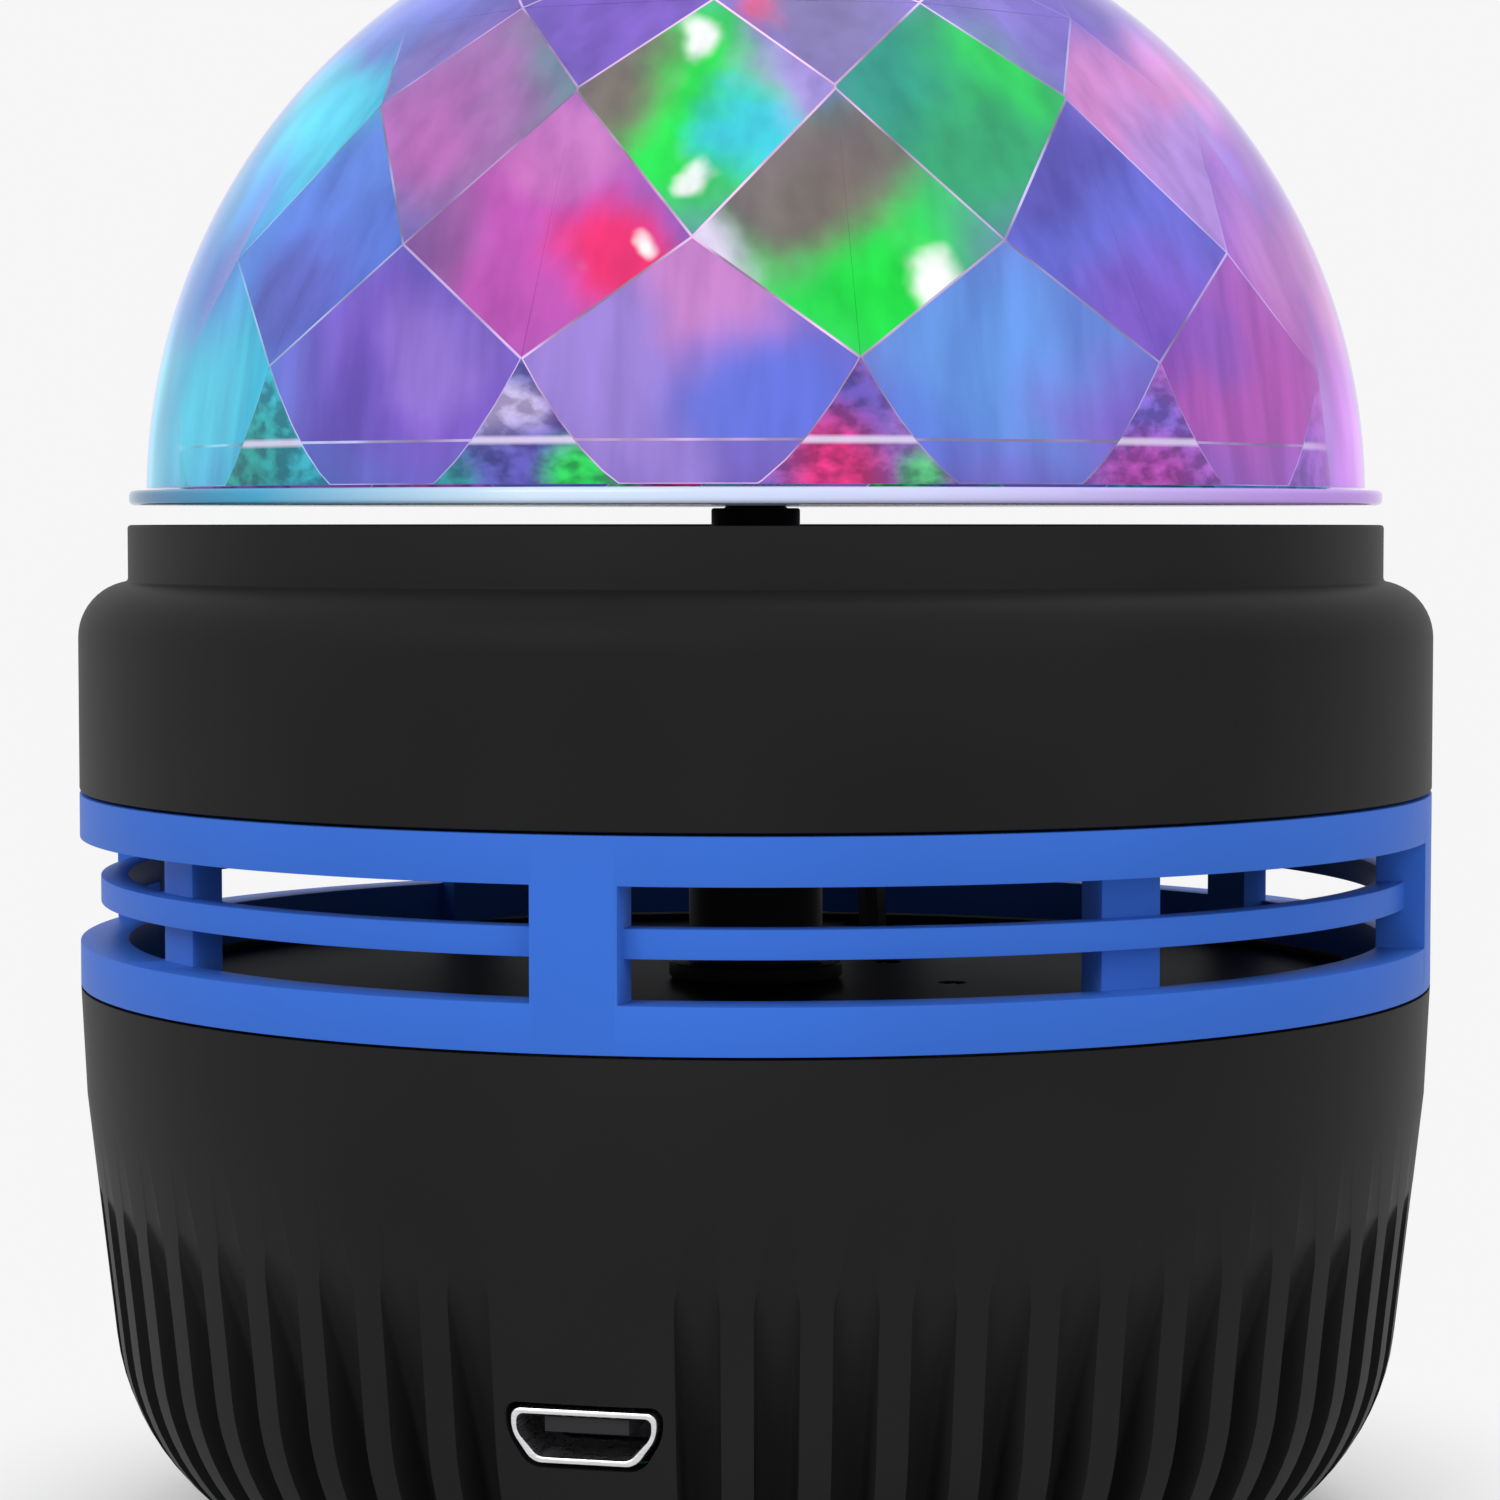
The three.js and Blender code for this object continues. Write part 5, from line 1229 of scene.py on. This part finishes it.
def makeTongue(p):
    # a black tongue with five gilt contacts let into its upper face
    low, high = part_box("usb_tongue")
    shellLow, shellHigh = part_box("usb_shell")
    middle = (shellLow.z + shellHigh.z) / 2 + p["lift"]
    half, thick = p["width"] / 2, p["thickness"] / 2
    bladeEnd = high.y - p["root"] / 2
    blade = block("tongueBlade", (-half, low.y, middle - thick), (half, bladeEnd, middle + thick))
    root = shellSolid("tongueRoot", high.y - p["root"], high.y, (high.x - shellHigh.x))
    boolean(blade, root, "UNION")
    roundEdges(blade, p["edge"], 2, 50)
    smooth(blade)
    finishPiece(blade, "base", materials["chip_black"], "chip_black", "usb_tongue")
    strips = []
    for i in range(p["contacts"]):
        x = (i - (p["contacts"] - 1) / 2) * p["pitch"]
        side, rise = p["contact"] / 2, p["contactRise"]
        start = (x - side, low.y + p["setBack"], middle + thick - rise)
        strips.append(block("contact", start, (x + side, high.y - p["root"], middle + thick + rise)))
    gilt = joinPieces(strips, "tongueContacts")
    roundEdges(gilt, p["contactEdge"], 2)
    smooth(gilt)
    finishPiece(gilt, "base", materials["bush_brass"], "bush_brass")


# dome: a clear shell, smooth outside, with rows of flat facets inside


def facetPlanes(p):
    # row by row, a point on each facet and its outward normal
    half = math.pi / p["columns"]
    corners = p["corners"]
    for row, (radius, height) in enumerate(corners):
        if row == 0:
            low, high = (radius * math.cos(half), height), corners[1]
        else:
            low, high = corners[row - 1], (radius * math.cos(half), height)
        for i in range(p["columns"]):
            azimuth = math.radians(p["firstAzimuth"]) + half * (2 * i + row % 2)
            out = Vector((math.sin(azimuth), -math.cos(azimuth), 0))
            normal = out * (high[1] - low[1]) + Vector((0, 0, low[0] - high[0]))
            yield out * low[0] + Vector((0, 0, low[1])), normal.normalized()


def makeHollow(p, centre, bottom):
    # the dome's inside as a solid: an upright drum with every facet cut from it, parted at the crease
    top = centre.z + p["corners"][-1][1]
    hollow = drumSolid("hollow", p["hollow"], bottom - 2 * past, top, p["hollowSegments"])
    for point, normal in facetPlanes(p):
        cutAway(hollow, centre + point, normal)
    bpy.ops.object.mode_set(mode="EDIT")
    bpy.ops.mesh.select_all(action="SELECT")
    bpy.ops.mesh.bisect(plane_co=(0, 0, centre.z + p["crease"]), plane_no=(0, 0, 1))
    bpy.ops.object.mode_set(mode="OBJECT")
    return hollow


def faceKinds(mesh, centre, radius, p):
    # 0 for the smooth outside and the rim, 1 for a facet and 2 for the upright strip between petals
    kinds = []
    for face in mesh.polygons:
        outside = (face.center - centre).length > radius - p["skinDepth"]
        rim = abs(face.normal.z) > p["level"] and face.center.z < centre.z + p["crease"]
        strip = abs(face.normal.z) < p["upright"]
        kinds.append(0 if outside or rim else 2 if strip else 1)
    return kinds


def makeDome(p):
    low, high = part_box("dome_shell")
    radius = high.z - (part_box("dome_base")[1].z - p["sink"])
    centre = Vector((0, 0, high.z - radius))
    start = math.degrees(math.asin((low.z - centre.z) / radius))
    outline = arc((0, centre.z), radius, start, p["lastAngle"], p["steps"])
    piece = turned("domeShell", outline, filled=True)
    boolean(piece, makeHollow(p, centre, low.z), "DIFFERENCE")
    mesh = piece.data
    kinds = faceKinds(mesh, centre, radius, p)
    facet = mesh.attributes.new("facet", "FLOAT_VECTOR", "FACE")
    for face in mesh.polygons:
        facet.data[face.index].vector = face.center
    finishPiece(piece, "dome", materials["clear_plastic"], "clear_plastic", "dome_shell")
    for make, name in ((litFacets, "litFacets"), (rimStrip, "rimStrip"), (ridgeGlass, "ridgeGlass")):
        mesh.materials.append(make(name, domeLight))
    for face, kind in zip(mesh.polygons, kinds):
        face.material_index = kind
    addRidges(piece, p)
    smooth(piece, 4)
    print("dome has", kinds.count(1), "facets")


def addRidges(piece, p):
    # each facet gets a narrow border of its own, drawn in along its edges
    makeActive(piece)
    bpy.ops.object.mode_set(mode="EDIT")
    bpy.ops.mesh.select_mode(type="FACE")
    bpy.ops.mesh.select_all(action="DESELECT")
    bpy.ops.object.mode_set(mode="OBJECT")
    for face in piece.data.polygons:
        face.select = face.material_index == 1
    bpy.ops.object.mode_set(mode="EDIT")
    bpy.ops.mesh.inset(thickness=p["ridge"], depth=0, use_individual=True)
    bpy.ops.object.mode_set(mode="OBJECT")
    for face in piece.data.polygons:
        if face.material_index == 1 and not face.select:
            face.material_index = 3


disc = {
    "edge": 0.3 * mm,
    "edgeSteps": 4,
    "hole": 2.1 * mm,
    "front": photoCamera["azimuth"],
    "halfWidth": 37 * mm,
    # the lamps' light painted across the disc, from one side to the other
    "edgeLightColours": [
        (0.03, (0.006, 0.10, 0.22)), (0.14, (0.04, 0.26, 0.42)), (0.34, (0.46, 0.56, 0.68)),
        (0.60, (0.44, 0.46, 0.66)), (0.97, (0.34, 0.15, 0.56)),
    ],
    "emission": 0.1,
    "roughness": 0.12,
    "sheen": 0.2,
}


def makeDisc(p):
    low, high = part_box("dome_base")
    piece = ringBetween("domeDisc", p["hole"], high.x, low.z, high.z)
    roundEdges(piece, p["edge"], p["edgeSteps"], 40)
    smooth(piece)
    finishPiece(piece, "dome", discGlass("discGlass", p), "clear_plastic", "dome_base")


makeHub(hub)
makeTube(tube)
makeButton(button)
makeFeet(foot)
makeCover(cover)
makeTongue(tongue)
print("small pieces are modelled")
makeDome(dome)
makeDisc(disc)
print("dome is modelled")
